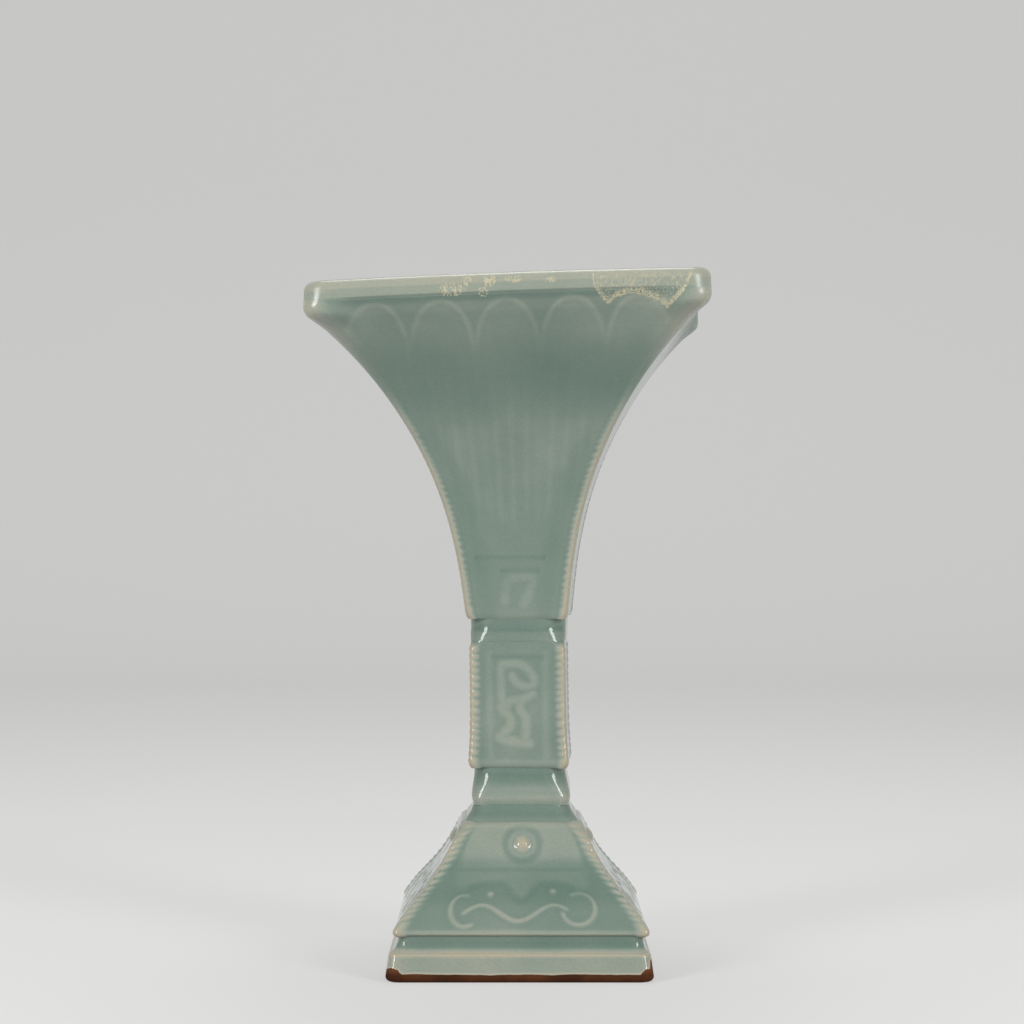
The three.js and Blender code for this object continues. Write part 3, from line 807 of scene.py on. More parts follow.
def sizes_in_mm(marks, **edges):
    """Sizes for the tree: height, crest and foot of each mark, and those of the corner edges."""
    sizes = {name.replace("_", " ").capitalize(): value * MM for name, value in edges.items()}
    for mark, values in marks.items():
        sizes.update({f"{mark} {size}": value * MM for size, value in zip(MARK_SIZES, values)})
    return sizes


def pattern(name, lines=(), shapes=(), dots=()):
    """A flat drawing as an object: lines as edges, shapes as faces and dots as points."""
    points, edges, faces = [], [], []
    for line in [*lines, *shapes, *([dot] for dot in dots)]:
        first = len(points)
        points.extend((across, up, 0.0) for across, up in line)
        steps = range(first, len(points))
        if any(line is shape for shape in shapes):
            faces.append(list(steps))
        else:
            edges.extend(zip(steps, steps[1:]))
    mesh = bpy.data.meshes.new(name)
    mesh.from_pydata(points, edges, faces)
    return bpy.data.objects.new(name, mesh)


def slab_blank(section, fades):
    """The unpressed front face as an object, with the addresses that the tree reads."""
    half, height = section.line.T
    x, y, run, out_x, out_y = side_plan(half, section.corner, section.flat_steps, section.arc_steps)
    z = repeated(height, x.shape[1])
    slope = np.gradient(section.line, axis=0)
    slope /= np.linalg.norm(slope, axis=1, keepdims=True)
    outward, upward = slope[:, 1:], -slope[:, :1]
    out = np.stack([outward * out_x, outward * out_y, upward * np.ones_like(x)], axis=-1)
    sheet = np.stack([run, repeated(section.run, x.shape[1]), np.zeros_like(x)], axis=-1)
    points = np.stack([x, y, z], axis=-1)
    mesh = bpy.data.meshes.new(section.name)
    mesh.from_pydata(points.reshape(-1, 3).tolist(), [], grid_faces(numbered(x)))
    for name, values in (("sheet", sheet), ("out", out)):
        mesh.attributes.new(name, "FLOAT_VECTOR", "POINT").data.foreach_set("vector", values.ravel())
    floats = {name: fades[name](z) if name in fades else np.ones_like(z) for name in FADE_NAMES}
    floats["inset"] = run.max(axis=1, keepdims=True) - np.abs(run)
    spread = np.gradient(half, section.run)[:, None]
    edge_run = section.run[:, None] + NOTCH_SLANT * spread * floats["inset"]
    long_wave = np.sin(edge_run / NOTCH_WAVES[0] + np.sign(run))
    short_wave = np.sin(edge_run / NOTCH_WAVES[1] - 2 * np.sign(run))
    floats["edge_run"] = edge_run + NOTCH_WANDER * (long_wave + short_wave)
    for name, values in floats.items():
        mesh.attributes.new(name, "FLOAT", "POINT").data.foreach_set("value", values.ravel())
    return placed(section.name, mesh), x.shape


def pressed_face(section, patterns, sizes, glaze, **fades):
    """The front face after pressing: its points and the height of its marks, as grids."""
    blank, shape = slab_blank(section, fades)
    modifier = blank.modifiers.new("pressed", "NODES")
    modifier.node_group = slab_tree
    values = {"Glaze": glaze, **sizes, **{f"{mark} pattern": drawn for mark, drawn in patterns.items()}}
    for socket in slab_tree.interface.items_tree:
        if socket.in_out == "INPUT" and socket.name in values:
            modifier[socket.identifier] = values[socket.name]
    depsgraph = bpy.context.evaluated_depsgraph_get()
    mesh = bpy.data.meshes.new_from_object(blank.evaluated_get(depsgraph))
    points = np.empty(len(mesh.vertices) * 3)
    mesh.vertices.foreach_get("co", points)
    relief = np.empty(len(mesh.vertices))
    mesh.attributes["relief"].data.foreach_get("value", relief)
    bpy.data.meshes.remove(mesh)
    for used in (blank, *patterns.values()):
        bpy.data.objects.remove(used)
    return points.reshape(*shape, 3), relief.reshape(shape)


def closed_slab_faces(outer, inner):
    """Faces of a slab between grids of point numbers: a fine outer one and a coarser inner one."""
    faces = grid_faces(outer) + [face[::-1] for face in grid_faces(inner)]
    rims = (
        (outer[0, ::-1], inner[0, ::-1]),
        (outer[-1], inner[-1]),
        (outer[:, 0], inner[:, 0]),
        (outer[::-1, -1], inner[::-1, -1]),
    )
    for fine, coarse in rims:
        for step in range(len(coarse) - 1):
            stretch = fine[step * INNER_STRIDE:(step + 1) * INNER_STRIDE + 1]
            faces.append([*stretch.tolist(), int(coarse[step + 1]), int(coarse[step])])
    return faces


def make_slabs(section, face, relief, materials, shape=np.copy):
    """The four slabs of a section, from its pressed front face, which a shape may bend at last."""
    bend = bend_of(with_mitres(face))[:, 1:-1]
    face = shape(face)
    inner_half, inner_height = section.inner[::INNER_STRIDE].T
    columns = np.linspace(-1, 1, (face.shape[1] - 1) // INNER_STRIDE + 1)
    inner_x = inner_half[:, None] * columns
    inner_y = -repeated(inner_half, len(columns))
    inside = np.stack([inner_x, inner_y, repeated(inner_height, len(columns))], axis=-1)
    faces = closed_slab_faces(numbered(relief), numbered(inner_x, relief.size))
    numbers = np.zeros(len(faces), int)
    outer_faces = (relief.shape[0] - 1) * (relief.shape[1] - 1)
    inner_faces = (inner_x.shape[0] - 1) * (inner_x.shape[1] - 1)
    numbers[outer_faces:outer_faces + inner_faces] = len(materials) - 1
    fired_faces = [fired(quarter_turn(face, count)) for count in range(4)]
    directions = [normals_of(points) for points in fired_faces]
    for here, after in zip(directions, directions[1:] + directions[:1]):
        shared = here[:, -1] + after[:, 0]
        shared /= np.linalg.norm(shared, axis=1, keepdims=True)
        here[:, -1] = shared
        after[:, 0] = shared
    plain = np.zeros(inner_x.size)
    marks = {name: np.append(values, plain) for name, values in (("bend", bend), ("relief", relief))}
    for count, side in enumerate(SIDES):
        turned_inside = fired(quarter_turn(inside, count))
        points = np.append(fired_faces[count], turned_inside).reshape(-1, 3)
        normals = np.append(directions[count], -normals_of(turned_inside)).reshape(-1, 3)
        node = f"{section.name}_{side}"
        new_piece(node, points, faces, normals, marks, materials, numbers)
    print(section.name, "of", len(faces), "faces, relief up to", round(relief.max(), 2), "mm")


# %% [markdown]
# ## The trumpet
# The mouth flares like a bell, on a curve that starts almost upright and ends at 45 degrees and more.
# Its face bears a row of leaf lappets that hang from the lip and gather towards the waist, then two
# grooves with a raised band between them, and a hooked fret. Near the lip the corner edges lose their
# notches and grow round.

# %% Trumpet outline
TRUMPET_LOW_Z = TRUMPET_Z - 1.6 * MM
TRUMPET_BOTTOM_HALF = 15.5 * MM
TRUMPET_TOP_HALF = 59.4 * MM
TRUMPET_BOTTOM_LEAN = math.radians(7.3)
TRUMPET_TOP_LEAN = math.radians(47.3)
TRUMPET_BOTTOM_REACH = 18.5 * MM
TRUMPET_TOP_REACH = 52.2 * MM
TRUMPET_ROLL = 6 * MM
TRUMPET_EDGE = (3.2 * MM, 0.5 * MM)
TRUMPET_CORNERS = (1.6 * MM, 6.6 * MM)
TRUMPET_ROUNDING = (165 * MM, LIP_Z)
LIP_LAP = 0.6 * MM


def flare(bottom, bottom_lean, bottom_reach, top, top_lean, top_reach, steps=200):
    """Curve of (half width, height) that leaves each end at a lean and holds it for a reach."""
    bottom, top = np.array(bottom), np.array(top)
    first = bottom + bottom_reach * np.array([math.sin(bottom_lean), math.cos(bottom_lean)])
    second = top - top_reach * np.array([math.sin(top_lean), math.cos(top_lean)])
    share = np.linspace(0, 1, steps + 1)[:, None]
    return ((1 - share) ** 3 * bottom + 3 * (1 - share) ** 2 * share * first
            + 3 * (1 - share) * share ** 2 * second + share ** 3 * top)


def inward(line, depth):
    """A line of (half width, height) moved in through the clay."""
    slope = np.gradient(line, axis=0)
    slope /= np.linalg.norm(slope, axis=1, keepdims=True)
    return line + depth * np.column_stack([-slope[:, 1], slope[:, 0]])


def cut_level(line, low, high):
    """The part of a rising line between two heights, run on upright if it falls short."""
    heights = np.linspace(low, high, 200)
    return np.column_stack([np.interp(heights, line[:, 1], line[:, 0]), heights])


roll = arc((TRUMPET_TOP_HALF - TRUMPET_ROLL, LIP_Z), TRUMPET_ROLL, -math.degrees(TRUMPET_TOP_LEAN), 0, 16)
trumpet_curve = flare(
    (TRUMPET_BOTTOM_HALF, TRUMPET_LOW_Z), TRUMPET_BOTTOM_LEAN, TRUMPET_BOTTOM_REACH,
    roll[0], TRUMPET_TOP_LEAN, TRUMPET_TOP_REACH,
)
trumpet_curve = np.vstack([trumpet_curve, roll[1:]])
trumpet_face = soft_foot(trumpet_curve, *TRUMPET_EDGE)
trumpet = Section(
    "trumpet_panel",
    outline=np.vstack([trumpet_face, trumpet_face[-1:] + (0, LIP_LAP)]),
    inner=cut_level(inward(trumpet_curve, WALL), TRUMPET_LOW_Z, LIP_Z + LIP_LAP),
    corner=lambda z: graded(z, TRUMPET_CORNERS, *TRUMPET_ROUNDING),
    flat_steps=248, rows=296,
)
print("Trumpet face:", round(trumpet.run[-1] / MM, 1), "mm long")

# %% Trumpet pattern
LAPPET_PITCH = 19.4 * MM
LAPPET_COUNT = 5
LAPPET_HALF = 9.2 * MM
LAPPET_TIP = LIP_Z - 1.4 * MM
LAPPET_SPRING = LIP_Z - 15 * MM
LAPPET_END = TRUMPET_Z + 19 * MM
LAPPET_GATHER = 0.69
LEAF_WIDTH = 0.86
VEIN_OFFSETS = (-0.27, 0.0, 0.27)
VEIN_TIP = LIP_Z - 9 * MM
BAND_GROOVES = (((-4.3, 13.3), (7.1, 13.3)), ((-12.0, 17.2), (9.0, 17.2)))
HOOK = ((-3.4, 4.1), (-3.2, 7.4), (-2.2, 10.4), (1.4, 11.4), (5.2, 10.6), (4.4, 7.2), (2.4, 3.2))


def gathered(across, height):
    """Places on the trumpet, drawn in towards the waist as the lappets are."""
    share = np.interp(height, [LAPPET_END, LAPPET_SPRING], [LAPPET_GATHER, 1])
    return np.column_stack([across * share, height])


def lappet_outline(middle):
    """Outline of one lappet, from its lower left end over the tip to its lower right end."""
    tip = arc((middle, LAPPET_SPRING), (LAPPET_HALF, LAPPET_TIP - LAPPET_SPRING), 180, 0, 40)
    left, right = tip[0, 0], tip[-1, 0]
    sides = np.linspace(LAPPET_END, LAPPET_SPRING, 30)[:-1]
    left_side = np.column_stack([np.full_like(sides, left), sides])
    right_side = np.column_stack([np.full_like(sides, right), sides[::-1]])
    return gathered(*np.vstack([left_side, tip, right_side]).T)


def leaf_body(outline):
    """An outline drawn in from both sides towards its own middle."""
    middle = outline[:, 0].mean()
    return np.column_stack([middle + LEAF_WIDTH * (outline[:, 0] - middle), outline[:, 1]])


lappet_middles = [(i - (LAPPET_COUNT - 1) / 2) * LAPPET_PITCH for i in range(LAPPET_COUNT)]
outlines = [lappet_outline(middle) for middle in lappet_middles]
vein_heights = np.linspace(LAPPET_END, VEIN_TIP, 30)
vein_middles = [middle + offset * LAPPET_PITCH for middle in lappet_middles for offset in VEIN_OFFSETS]
veins = [gathered(middle, vein_heights) for middle in vein_middles]
grooves = [np.array(groove) * MM + (0, TRUMPET_Z) for groove in BAND_GROOVES]
hook = flowing(np.array(HOOK) * MM + (0, TRUMPET_Z))
bodies = [leaf_body(outline) for outline in outlines]
trumpet_patterns = {
    "Lines": pattern("lappets", [trumpet.sheet(line) for line in outlines]),
    "Veins": pattern("veins", [trumpet.sheet(line) for line in veins]),
    "Strokes": pattern("fret", [trumpet.sheet(hook)]),
    "Grooves": pattern("grooves", [trumpet.sheet(line) for line in grooves]),
    "Field": pattern("leaf_bodies", shapes=[trumpet.sheet(line) for line in bodies]),
}
print(len(outlines), "lappets with", len(veins), "veins")

# %% [markdown]
# In the middle of each side the slab runs straight on to a crease under the lip. Towards the corners
# the crease fades out, and lip and slab swell into one round edge. At the corners the glaze has run off
# and left them pale, and it has pooled beside the notched edges. The crease is darkened for glaze pooled
# in it and for a painted shadow of the lip, and a band of painted shade crosses the slabs lower down.
# The lip is a piece of its own, so the crease is written as a function that serves both.

# %% Trumpet slabs
LEAF_RISE = (181 * MM, 199 * MM)
VEIN_RISE, VEIN_FALL = (LAPPET_END, 145 * MM), (176 * MM, 196 * MM)
NOTCH_FALL = (150 * MM, 182 * MM)
FLANGE_FALL = (140 * MM, 185 * MM)
CREASE_START = LIP_Z - 36 * MM
CREASE_HALF = 58.7 * MM
CREASE_LEAN = math.radians(39)
CREASE_ABOVE = 1.0 * MM
CREASE_MARGIN = (4 * MM, 17 * MM)
CORNER_BULGE = 1.1 * MM
BULGE_RISE, BULGE_FALL = (LIP_Z - 8.5 * MM, LIP_Z - 3 * MM), (LIP_Z - 4 * MM, LIP_Z + 4.5 * MM)
BULGE_MARGIN = (3 * MM, 20 * MM)
BULGE_ROUND = 7 * MM
# Painted shadow of the lip, with pooled glaze, darkens the crease by this much.
CREASE_SHADE_AND_POOL = 0.30
CREASE_SHADE_AND_POOL_REACH = 2.4 * MM
# Painted shade: a darker band across the trumpet's face, about this height.
TRUMPET_PAINTED_SHADE = 0.19
TRUMPET_PAINTED_SHADE_Z = 180 * MM
TRUMPET_PAINTED_SHADE_REACH = 15 * MM
EDGE_POOL = 0.10
EDGE_POOL_PLACE, EDGE_POOL_REACH = 6.5 * MM, 5 * MM
EDGE_POOL_END = (150 * MM, 175 * MM)
CORNER_PALE = 0.2
CORNER_PALING = (180 * MM, 200 * MM)
PALE_MARGIN = (2 * MM, 10 * MM)


def corner_distance(points):
    """How far points on the outside lie from the nearest corner, along their side."""
    across, out = np.sort(np.abs(points[..., :2]), axis=-1).transpose(2, 0, 1)
    return out - across


def straight_on(start, end, end_slope, steps=60):
    """Heights, and half widths of the trumpet's outline and of a curve that leaves it for an end."""
    height = np.linspace(start, end[1], steps + 1)
    half = np.interp(height, trumpet.line[:, 1], trumpet.line[:, 0])
    span = end[1] - start
    slope = (half[1] - half[0]) / (height[1] - height[0])
    share = (height - start) / span
    rest = 1 - share
    leaving = half[0] * (1 + 2 * share) * rest ** 2 + span * slope * share * rest ** 2
    arriving = end[0] * share ** 2 * (3 - 2 * share) - span * end_slope * share ** 2 * rest
    return height, half, leaving + arriving


crease_height, rolled, straight = straight_on(CREASE_START, (CREASE_HALF, LIP_Z), math.tan(CREASE_LEAN))
crease_depth = rolled - straight


def creased(points):
    """Points on the outside, drawn in along the crease under the lip and swollen at its corners."""
    z = points[..., 2]
    depth = np.interp(z, crease_height, crease_depth) * (1 - ease(z, LIP_Z, LIP_Z + CREASE_ABOVE))
    depth = depth * ease(corner_distance(points), *CREASE_MARGIN)
    bulge = CORNER_BULGE * ease(z, *BULGE_RISE) * (1 - ease(z, *BULGE_FALL))
    bulge = bulge * (1 - ease(corner_distance(points), *BULGE_MARGIN))
    sides = np.abs(points[..., :2])
    out = sides.max(axis=-1, keepdims=True)
    move = bulge[..., None] * ease(sides, out - BULGE_ROUND, out)
    move -= np.where(sides >= out, depth[..., None], 0)
    moved = points.copy()
    moved[..., :2] += np.sign(points[..., :2]) * move
    return moved


trumpet_sizes = sizes_in_mm(
    {"Lines": (0.11, 0.0, 1.1), "Veins": (0.02, 0.1, 1.6), "Strokes": (0.07, 0.2, 2.6),
     "Grooves": (-0.11, 0.0, 1.0), "Field": (0.04, 0.0, 1.6)},
    flange_height=0.32, flange_width=3.0, notch_pitch=2.0, notch_depth=0.26, notch_half_width=0.65,
    notch_inset=1.1, notch_reach=3.4, notch_start=3.5, notch_end=90, border=4.5,
)
face, relief = pressed_face(
    trumpet, trumpet_patterns, trumpet_sizes, crawled,
    fade=lambda z: graded(z, (0.1, 1), *LEAF_RISE),
    fade_veins=lambda z: ease(z, *VEIN_RISE) * (1 - ease(z, *VEIN_FALL)),
    fade_edge=lambda z: 1 - ease(z, *NOTCH_FALL),
    fade_flange=lambda z: graded(z, (1, 0.4), *FLANGE_FALL),
)
height, inset = face[..., 2], corner_distance(face)
relief += CORNER_PALE * ease(height, *CORNER_PALING) * (1 - ease(inset, *PALE_MARGIN))
# Painted shade across the trumpet.
relief -= TRUMPET_PAINTED_SHADE * (1 - ease(np.abs(height - TRUMPET_PAINTED_SHADE_Z), 0, TRUMPET_PAINTED_SHADE_REACH))
# Painted shadow of the lip, with glaze pooled in the crease.
relief -= CREASE_SHADE_AND_POOL * ease(height, LIP_Z - CREASE_SHADE_AND_POOL_REACH, LIP_Z) * ease(inset, *CREASE_MARGIN)
beside_edge = 1 - ease(np.abs(inset - EDGE_POOL_PLACE), 0, EDGE_POOL_REACH)
relief -= EDGE_POOL * beside_edge * (1 - ease(height, *EDGE_POOL_END))
make_slabs(trumpet, face, relief, [crawled], creased)

# %% [markdown]
# ## The knop
# The knop is a short square shaft. Each side has a fret scroll between two upright lines, and strong
# notched flanges on its corner edges, which stand out from the plain waists above and below.

# %% Knop
KNOP_BOTTOM_HALF = 15.4 * MM
KNOP_HALF = 14.7 * MM
KNOP_TOP_HALF = 14.6 * MM
KNOP_EDGE = (3.2 * MM, 0.9 * MM)
KNOP_CORNERS = (1.4 * MM, 4.6 * MM)
FRAME_HALF = 8.6 * MM
FRAME_MARGIN = 4 * MM
FRAME_TOP_Z = 96.2 * MM
SCROLLS = [np.array(line) * MM for line in (
    [(-3.4, 80.7), (-4.8, 83.7), (-5.1, 88.7), (-4.8, 93.3), (-1.7, 94.0), (1.2, 93.6),
     (4.0, 91.6), (5.2, 88.7), (4.0, 87.1), (1.2, 87.3), (-0.5, 88.5), (-1.6, 90.2)],
    [(-5.1, 80.7), (-2.3, 82.4), (1.1, 83.0), (4.5, 84.7)],
    [(1.1, 82.4), (0.7, 80.3), (2.3, 77.3), (2.5, 73.8), (2.3, 69.9)],
    [(-4.6, 79.6), (-2.4, 77.3), (-2.4, 75.0), (-4.6, 72.2), (-5.7, 71.0), (-1.7, 70.1), (3.4, 69.3)],
)]

knop_line = flowing(np.array([
    (KNOP_BOTTOM_HALF, KNOP_Z), (KNOP_HALF, KNOP_Z + 14 * MM), (KNOP_TOP_HALF, UPPER_WAIST_Z),
]))
knop = Section(
    "knop_panel",
    outline=soft_foot(knop_line, *KNOP_EDGE),
    inner=knop_line - (WALL, 0),
    corner=lambda z: graded(z, KNOP_CORNERS, UPPER_WAIST_Z - 2.5 * MM, UPPER_WAIST_Z),
    flat_steps=96, rows=144,
)
frame_ends = (KNOP_Z + FRAME_MARGIN, UPPER_WAIST_Z - FRAME_MARGIN)
frame_lines = [[(x, z) for z in frame_ends] for x in (-FRAME_HALF, FRAME_HALF)]
frame_top = [(-FRAME_HALF + 1.4 * MM, FRAME_TOP_Z), (FRAME_HALF - 1.0 * MM, FRAME_TOP_Z)]
knop_patterns = {
    "Grooves": pattern("frame_top", [knop.sheet(frame_top)]),
    "Strokes": pattern("scroll", [knop.sheet(flowing(line)) for line in SCROLLS]),
    "Veins": pattern("frame_lines", [knop.sheet(line) for line in frame_lines]),
}
knop_sizes = sizes_in_mm(
    {"Strokes": (0.13, 0.2, 2.4), "Veins": (0.06, 0.0, 2.2), "Grooves": (-0.08, 0.0, 1.6)},
    flange_height=0.42, flange_width=3.4, notch_pitch=2.3, notch_depth=0.27, notch_half_width=0.66,
    notch_inset=0.7, notch_reach=3.6, notch_start=2.4, notch_end=40.4, border=4,
)
face, relief = pressed_face(
    knop, knop_patterns, knop_sizes, celadon,
    fade_flange=lambda z: 1 - ease(z, UPPER_WAIST_Z - 2.2 * MM, UPPER_WAIST_Z),
)
make_slabs(knop, face, relief, [celadon])

# %% [markdown]
# ## The foot
# Each side of the foot slopes out on a hollow curve to an upright edge. A boss sits in a ring near its
# top. Below a groove, the raised ground ends in two brows over bead eyes, and a moustache scroll with
# curled ends lies in the hollow ground beneath them.

# %% Foot
FOOT_BOTTOM_HALF = 38.2 * MM
FOOT_TOP_HALF = 19.3 * MM
FOOT_LOW_Z = FOOT_Z + 0.7 * MM
FOOT_ROUND = 1.0 * MM
FOOT_SHOULDER = 2.6 * MM
FOOT_CORNERS = (1.4 * MM, 7.0 * MM)
FOOT_BOTTOM_LEAN = math.radians(-29)
FOOT_TOP_LEAN = math.radians(-20.5)
FOOT_BOTTOM_REACH = 11.5 * MM
FOOT_TOP_REACH = 16.5 * MM
BOSS_PLACE = (0.2 * MM, 39.0 * MM)
RING_RADIUS = (5.2 * MM, 4.8 * MM)
FOOT_GROOVE_Z = 31.7 * MM
BROW_Z = 29.6 * MM
BROW_DIP = 4.4 * MM
BROW_END, BROW_END_START = 1.4 * MM, 10 * MM
BROW_POOL = 1.8 * MM
# A darker glaze colour over the middle of the foot, between these heights.
FOOT_DARKENING = 0.20
FOOT_DARKENING_LOW, FOOT_DARKENING_HIGH = (20 * MM, 26 * MM), (32 * MM, 37 * MM)
BROW_SPAN = 6.4 * MM
GROUND_TOP_HALF = 13.4 * MM
GROUND_HALF = 18.6 * MM
EYES = [(-9.3 * MM, 25.1 * MM), (9.6 * MM, 25.9 * MM)]
MOUSTACHE_ENDS = (-17.4 * MM, 13.7 * MM)
MOUSTACHE_PLACE = (-1.0 * MM, 20.1 * MM)
MOUSTACHE_RISE = 2.15 * MM
MOUSTACHE_WAVE = 10.9 * MM
LEFT_CURL = ((-17.2 * MM, 20.6 * MM), (4.2 * MM, 4.2 * MM), 75, 300)
RIGHT_CURL = ((17.3 * MM, 21.1 * MM), (5.0 * MM, 4.2 * MM), 115, -165)

edge_middle = (FOOT_BOTTOM_HALF - FOOT_ROUND, FOOT_LOW_Z + FOOT_ROUND)
foot_edge = arc(edge_middle, FOOT_ROUND, -90, -math.degrees(FOOT_BOTTOM_LEAN), 12)
shoulder = arc((0, 0), FOOT_SHOULDER, -math.degrees(FOOT_TOP_LEAN), 80)
shoulder += (FOOT_TOP_HALF - shoulder[0, 0], FLOOR_Z - shoulder[-1, 1])
foot_curve = flare(
    foot_edge[-1], FOOT_BOTTOM_LEAN, FOOT_BOTTOM_REACH, shoulder[0], FOOT_TOP_LEAN, FOOT_TOP_REACH,
)
foot_curve = np.vstack([foot_curve, shoulder[1:]])
foot = Section(
    "foot_panel",
    outline=np.vstack([foot_edge, foot_curve[1:]]),
    inner=cut_level(inward(foot_curve, WALL), FOOT_LOW_Z, FLOOR_Z),
    corner=lambda z: graded(z, FOOT_CORNERS, FLOOR_Z - 6 * MM, FLOOR_Z + 1 * MM),
    flat_steps=192, rows=120,
)
wave_x = np.linspace(*MOUSTACHE_ENDS, 61)
wave = MOUSTACHE_RISE * np.cos(np.pi * (wave_x - MOUSTACHE_PLACE[0]) / MOUSTACHE_WAVE)
moustache = np.column_stack([wave_x, MOUSTACHE_PLACE[1] - wave])
curls = [arc(*curl, 40) for curl in (LEFT_CURL, RIGHT_CURL)]
brow_x = np.linspace(-GROUND_HALF, GROUND_HALF, 61)
brow_z = BROW_Z - BROW_DIP * np.cos(np.clip(brow_x / BROW_SPAN, -1, 1) * np.pi / 2) ** 2
brow_z -= BROW_END * ease(np.abs(brow_x), BROW_END_START, GROUND_HALF)
brow = np.column_stack([brow_x, brow_z])
ground = np.vstack([brow, [(GROUND_TOP_HALF, FLOOR_Z), (-GROUND_TOP_HALF, FLOOR_Z)]])
foot_groove = [(-GROUND_HALF, FOOT_GROOVE_Z), (GROUND_HALF, FOOT_GROOVE_Z)]
pools = (arc(BOSS_PLACE, RING_RADIUS, 0, 360, 64), brow[6:-6] - (0, BROW_POOL))
foot_patterns = {
    "Lines": pattern("moustache", [foot.sheet(line) for line in (moustache, *curls)]),
    "Veins": pattern("foot_groove", [foot.sheet(foot_groove)]),
    "Grooves": pattern("pools", [foot.sheet(line) for line in pools]),
    "Field": pattern("ground", shapes=[foot.sheet(ground)]),
    "Boss": pattern("boss", dots=foot.sheet([BOSS_PLACE])),
    "Eyes": pattern("eyes", dots=foot.sheet(EYES)),
}
foot_sizes = sizes_in_mm(
    {"Lines": (0.27, 0.0, 1.0), "Veins": (-0.11, 0.0, 0.9), "Grooves": (-0.13, 0.0, 2.2),
     "Field": (0.15, 0.0, 3.6), "Boss": (1.1, 0.7, 3.0), "Eyes": (0.35, 0.0, 1.7)},
    flange_height=0.45, flange_width=4.2, notch_pitch=2.2, notch_depth=0.40, notch_half_width=0.70,
    notch_inset=0.3, notch_reach=4.4, notch_start=3.6, notch_end=44, border=4.6,
)
face, relief = pressed_face(foot, foot_patterns, foot_sizes, celadon)
# The glaze is darker between these heights.
relief -= FOOT_DARKENING * ease(face[..., 2], *FOOT_DARKENING_LOW) * (1 - ease(face[..., 2], *FOOT_DARKENING_HIGH))
make_slabs(foot, face, relief, [celadon, clay])

# %% [markdown]
# ## Rings round the vase
# The lip, the two waists, the floor slab and the plinth are plain mouldings. Each is one section drawn
# from the side and carried round a square with rounded corners. Outside and inside have their own
# corner radius, so a section point is (half width, height, corner radius). The bend is taken from the
# outside alone, because the glaze runs over a joint and doesn't thin there. Only the lip rolls over to
# the inside, so its bend takes in both.

# %% Ring helper
RING_ARC_STEPS = 16


def make_ring(node, outer, inner, material, pale, shape=np.copy, flat_steps=40, bent_over=False):
    """A section of outer and inner points, carried round the four sides.
    Pale: thin and pooled glaze over points, and on the waists painted shade and a painted highlight.
    """
    section = np.vstack([outer, inner])
    half, height, corner = section.T
    x, y = side_plan(half, corner, flat_steps, RING_ARC_STEPS)[:2]
    side = np.stack([x, y, repeated(height, x.shape[1])], axis=-1)
    points = np.concatenate([quarter_turn(side, count)[:, :-1] for count in range(4)], axis=1)
    bend = np.zeros(points.shape[:2])
    bent = len(section) if bent_over else len(outer)
    bend[:bent] = bend_of(points[:bent], (False, True))
    points[:len(outer)] = shape(points[:len(outer)])
    moved = fired(points)
    normals = normals_of(moved, (True, True)).reshape(-1, 3)
    faces = grid_faces(np.pad(numbered(points), ((0, 1), (0, 1)), mode="wrap"))
    marks = {"bend": bend.ravel(), "relief": pale(points).ravel()}
    new_piece(node, moved.reshape(-1, 3), faces, normals, marks, [material])
    print(node, "of", len(faces), "faces")


def guarded(line, share=0.05):
    """A line with a second point close to each end, so that its own slope shades its ends."""
    second = (1 - share) * line[:1] + share * line[1:2]
    last_but_one = (1 - share) * line[-1:] + share * line[-2:-1]
    return np.vstack([line[:1], second, line[1:-1], last_but_one, line[-1:]])


def with_corner(line, radius):
    """Points of a section with their corner radius, or radii."""
    return np.column_stack([line, np.broadcast_to(radius, len(line))])


def nested(line, half, radius):
    """Points of a section with corner radii that shrink inwards from a half width and its radius."""
    return with_corner(line, np.maximum(radius - (half - line[:, 0]), 0))


# %% [markdown]
# The lip is a thick roll of clay over the slabs' ends. Its glaze has run down and left it pale, from the
# crease upwards, and at the corners right down to the slabs.

# %% Lip
LIP_HALF = 59.8 * MM
LIP_INNER = 54.2 * MM
LIP_CORNER = 7 * MM
LIP_PALE = 0.2
LIP_PALING = (LIP_Z, LIP_Z + 1.2 * MM)
lip_middle = (LIP_HALF + LIP_INNER) / 2
lip_radius = (LIP_HALF - LIP_INNER) / 2
roll_middle = (lip_middle, TOP_Z - lip_radius)
lip_outer = np.vstack([[(TRUMPET_TOP_HALF, LIP_Z)], arc(roll_middle, lip_radius, 0, 90, 12)])
lip_inner = np.vstack([arc(roll_middle, lip_radius, 90, 180, 12)[1:], [(LIP_INNER, LIP_Z)]])


def lip_pale(points):
    """Thin glaze on the lip, and on from the slabs at its corners."""
    run_off = LIP_PALE * ease(points[..., 2], *LIP_PALING)
    return np.maximum(run_off, CORNER_PALE * (1 - ease(corner_distance(points), *PALE_MARGIN)))


make_ring(
    "mouth_lip", nested(guarded(resampled(lip_outer, 60)), LIP_HALF, LIP_CORNER),
    nested(resampled(lip_inner, 24), LIP_HALF, LIP_CORNER), crawled,
    lip_pale, creased, 80, bent_over=True,
)

# %% [markdown]
# The two waists are hollow bands between the strong edges of trumpet, knop and foot. Glaze pools under
# each edge, and painted shade of that edge is added to it, so they are the deepest green of the vase.
# The lower waist's roll is paler, from thin glaze and a painted highlight. The floor slab shows as a
# cove above the foot.

# %% Waists and floor
WAIST_CORNERS = (4.6 * MM, 8.0 * MM)
ROLL_CORNERS = (3.2 * MM, 6.6 * MM)
SKIRT_CORNER = 5 * MM
BORE_CORNER = 2.0 * MM
KNOP_BORE = 9.9 * MM
POOLED = -0.12
# Pooled glaze and painted shade, darkest under the trumpet's and the knop's edges.
WAIST_POOL_AND_SHADE = -0.20
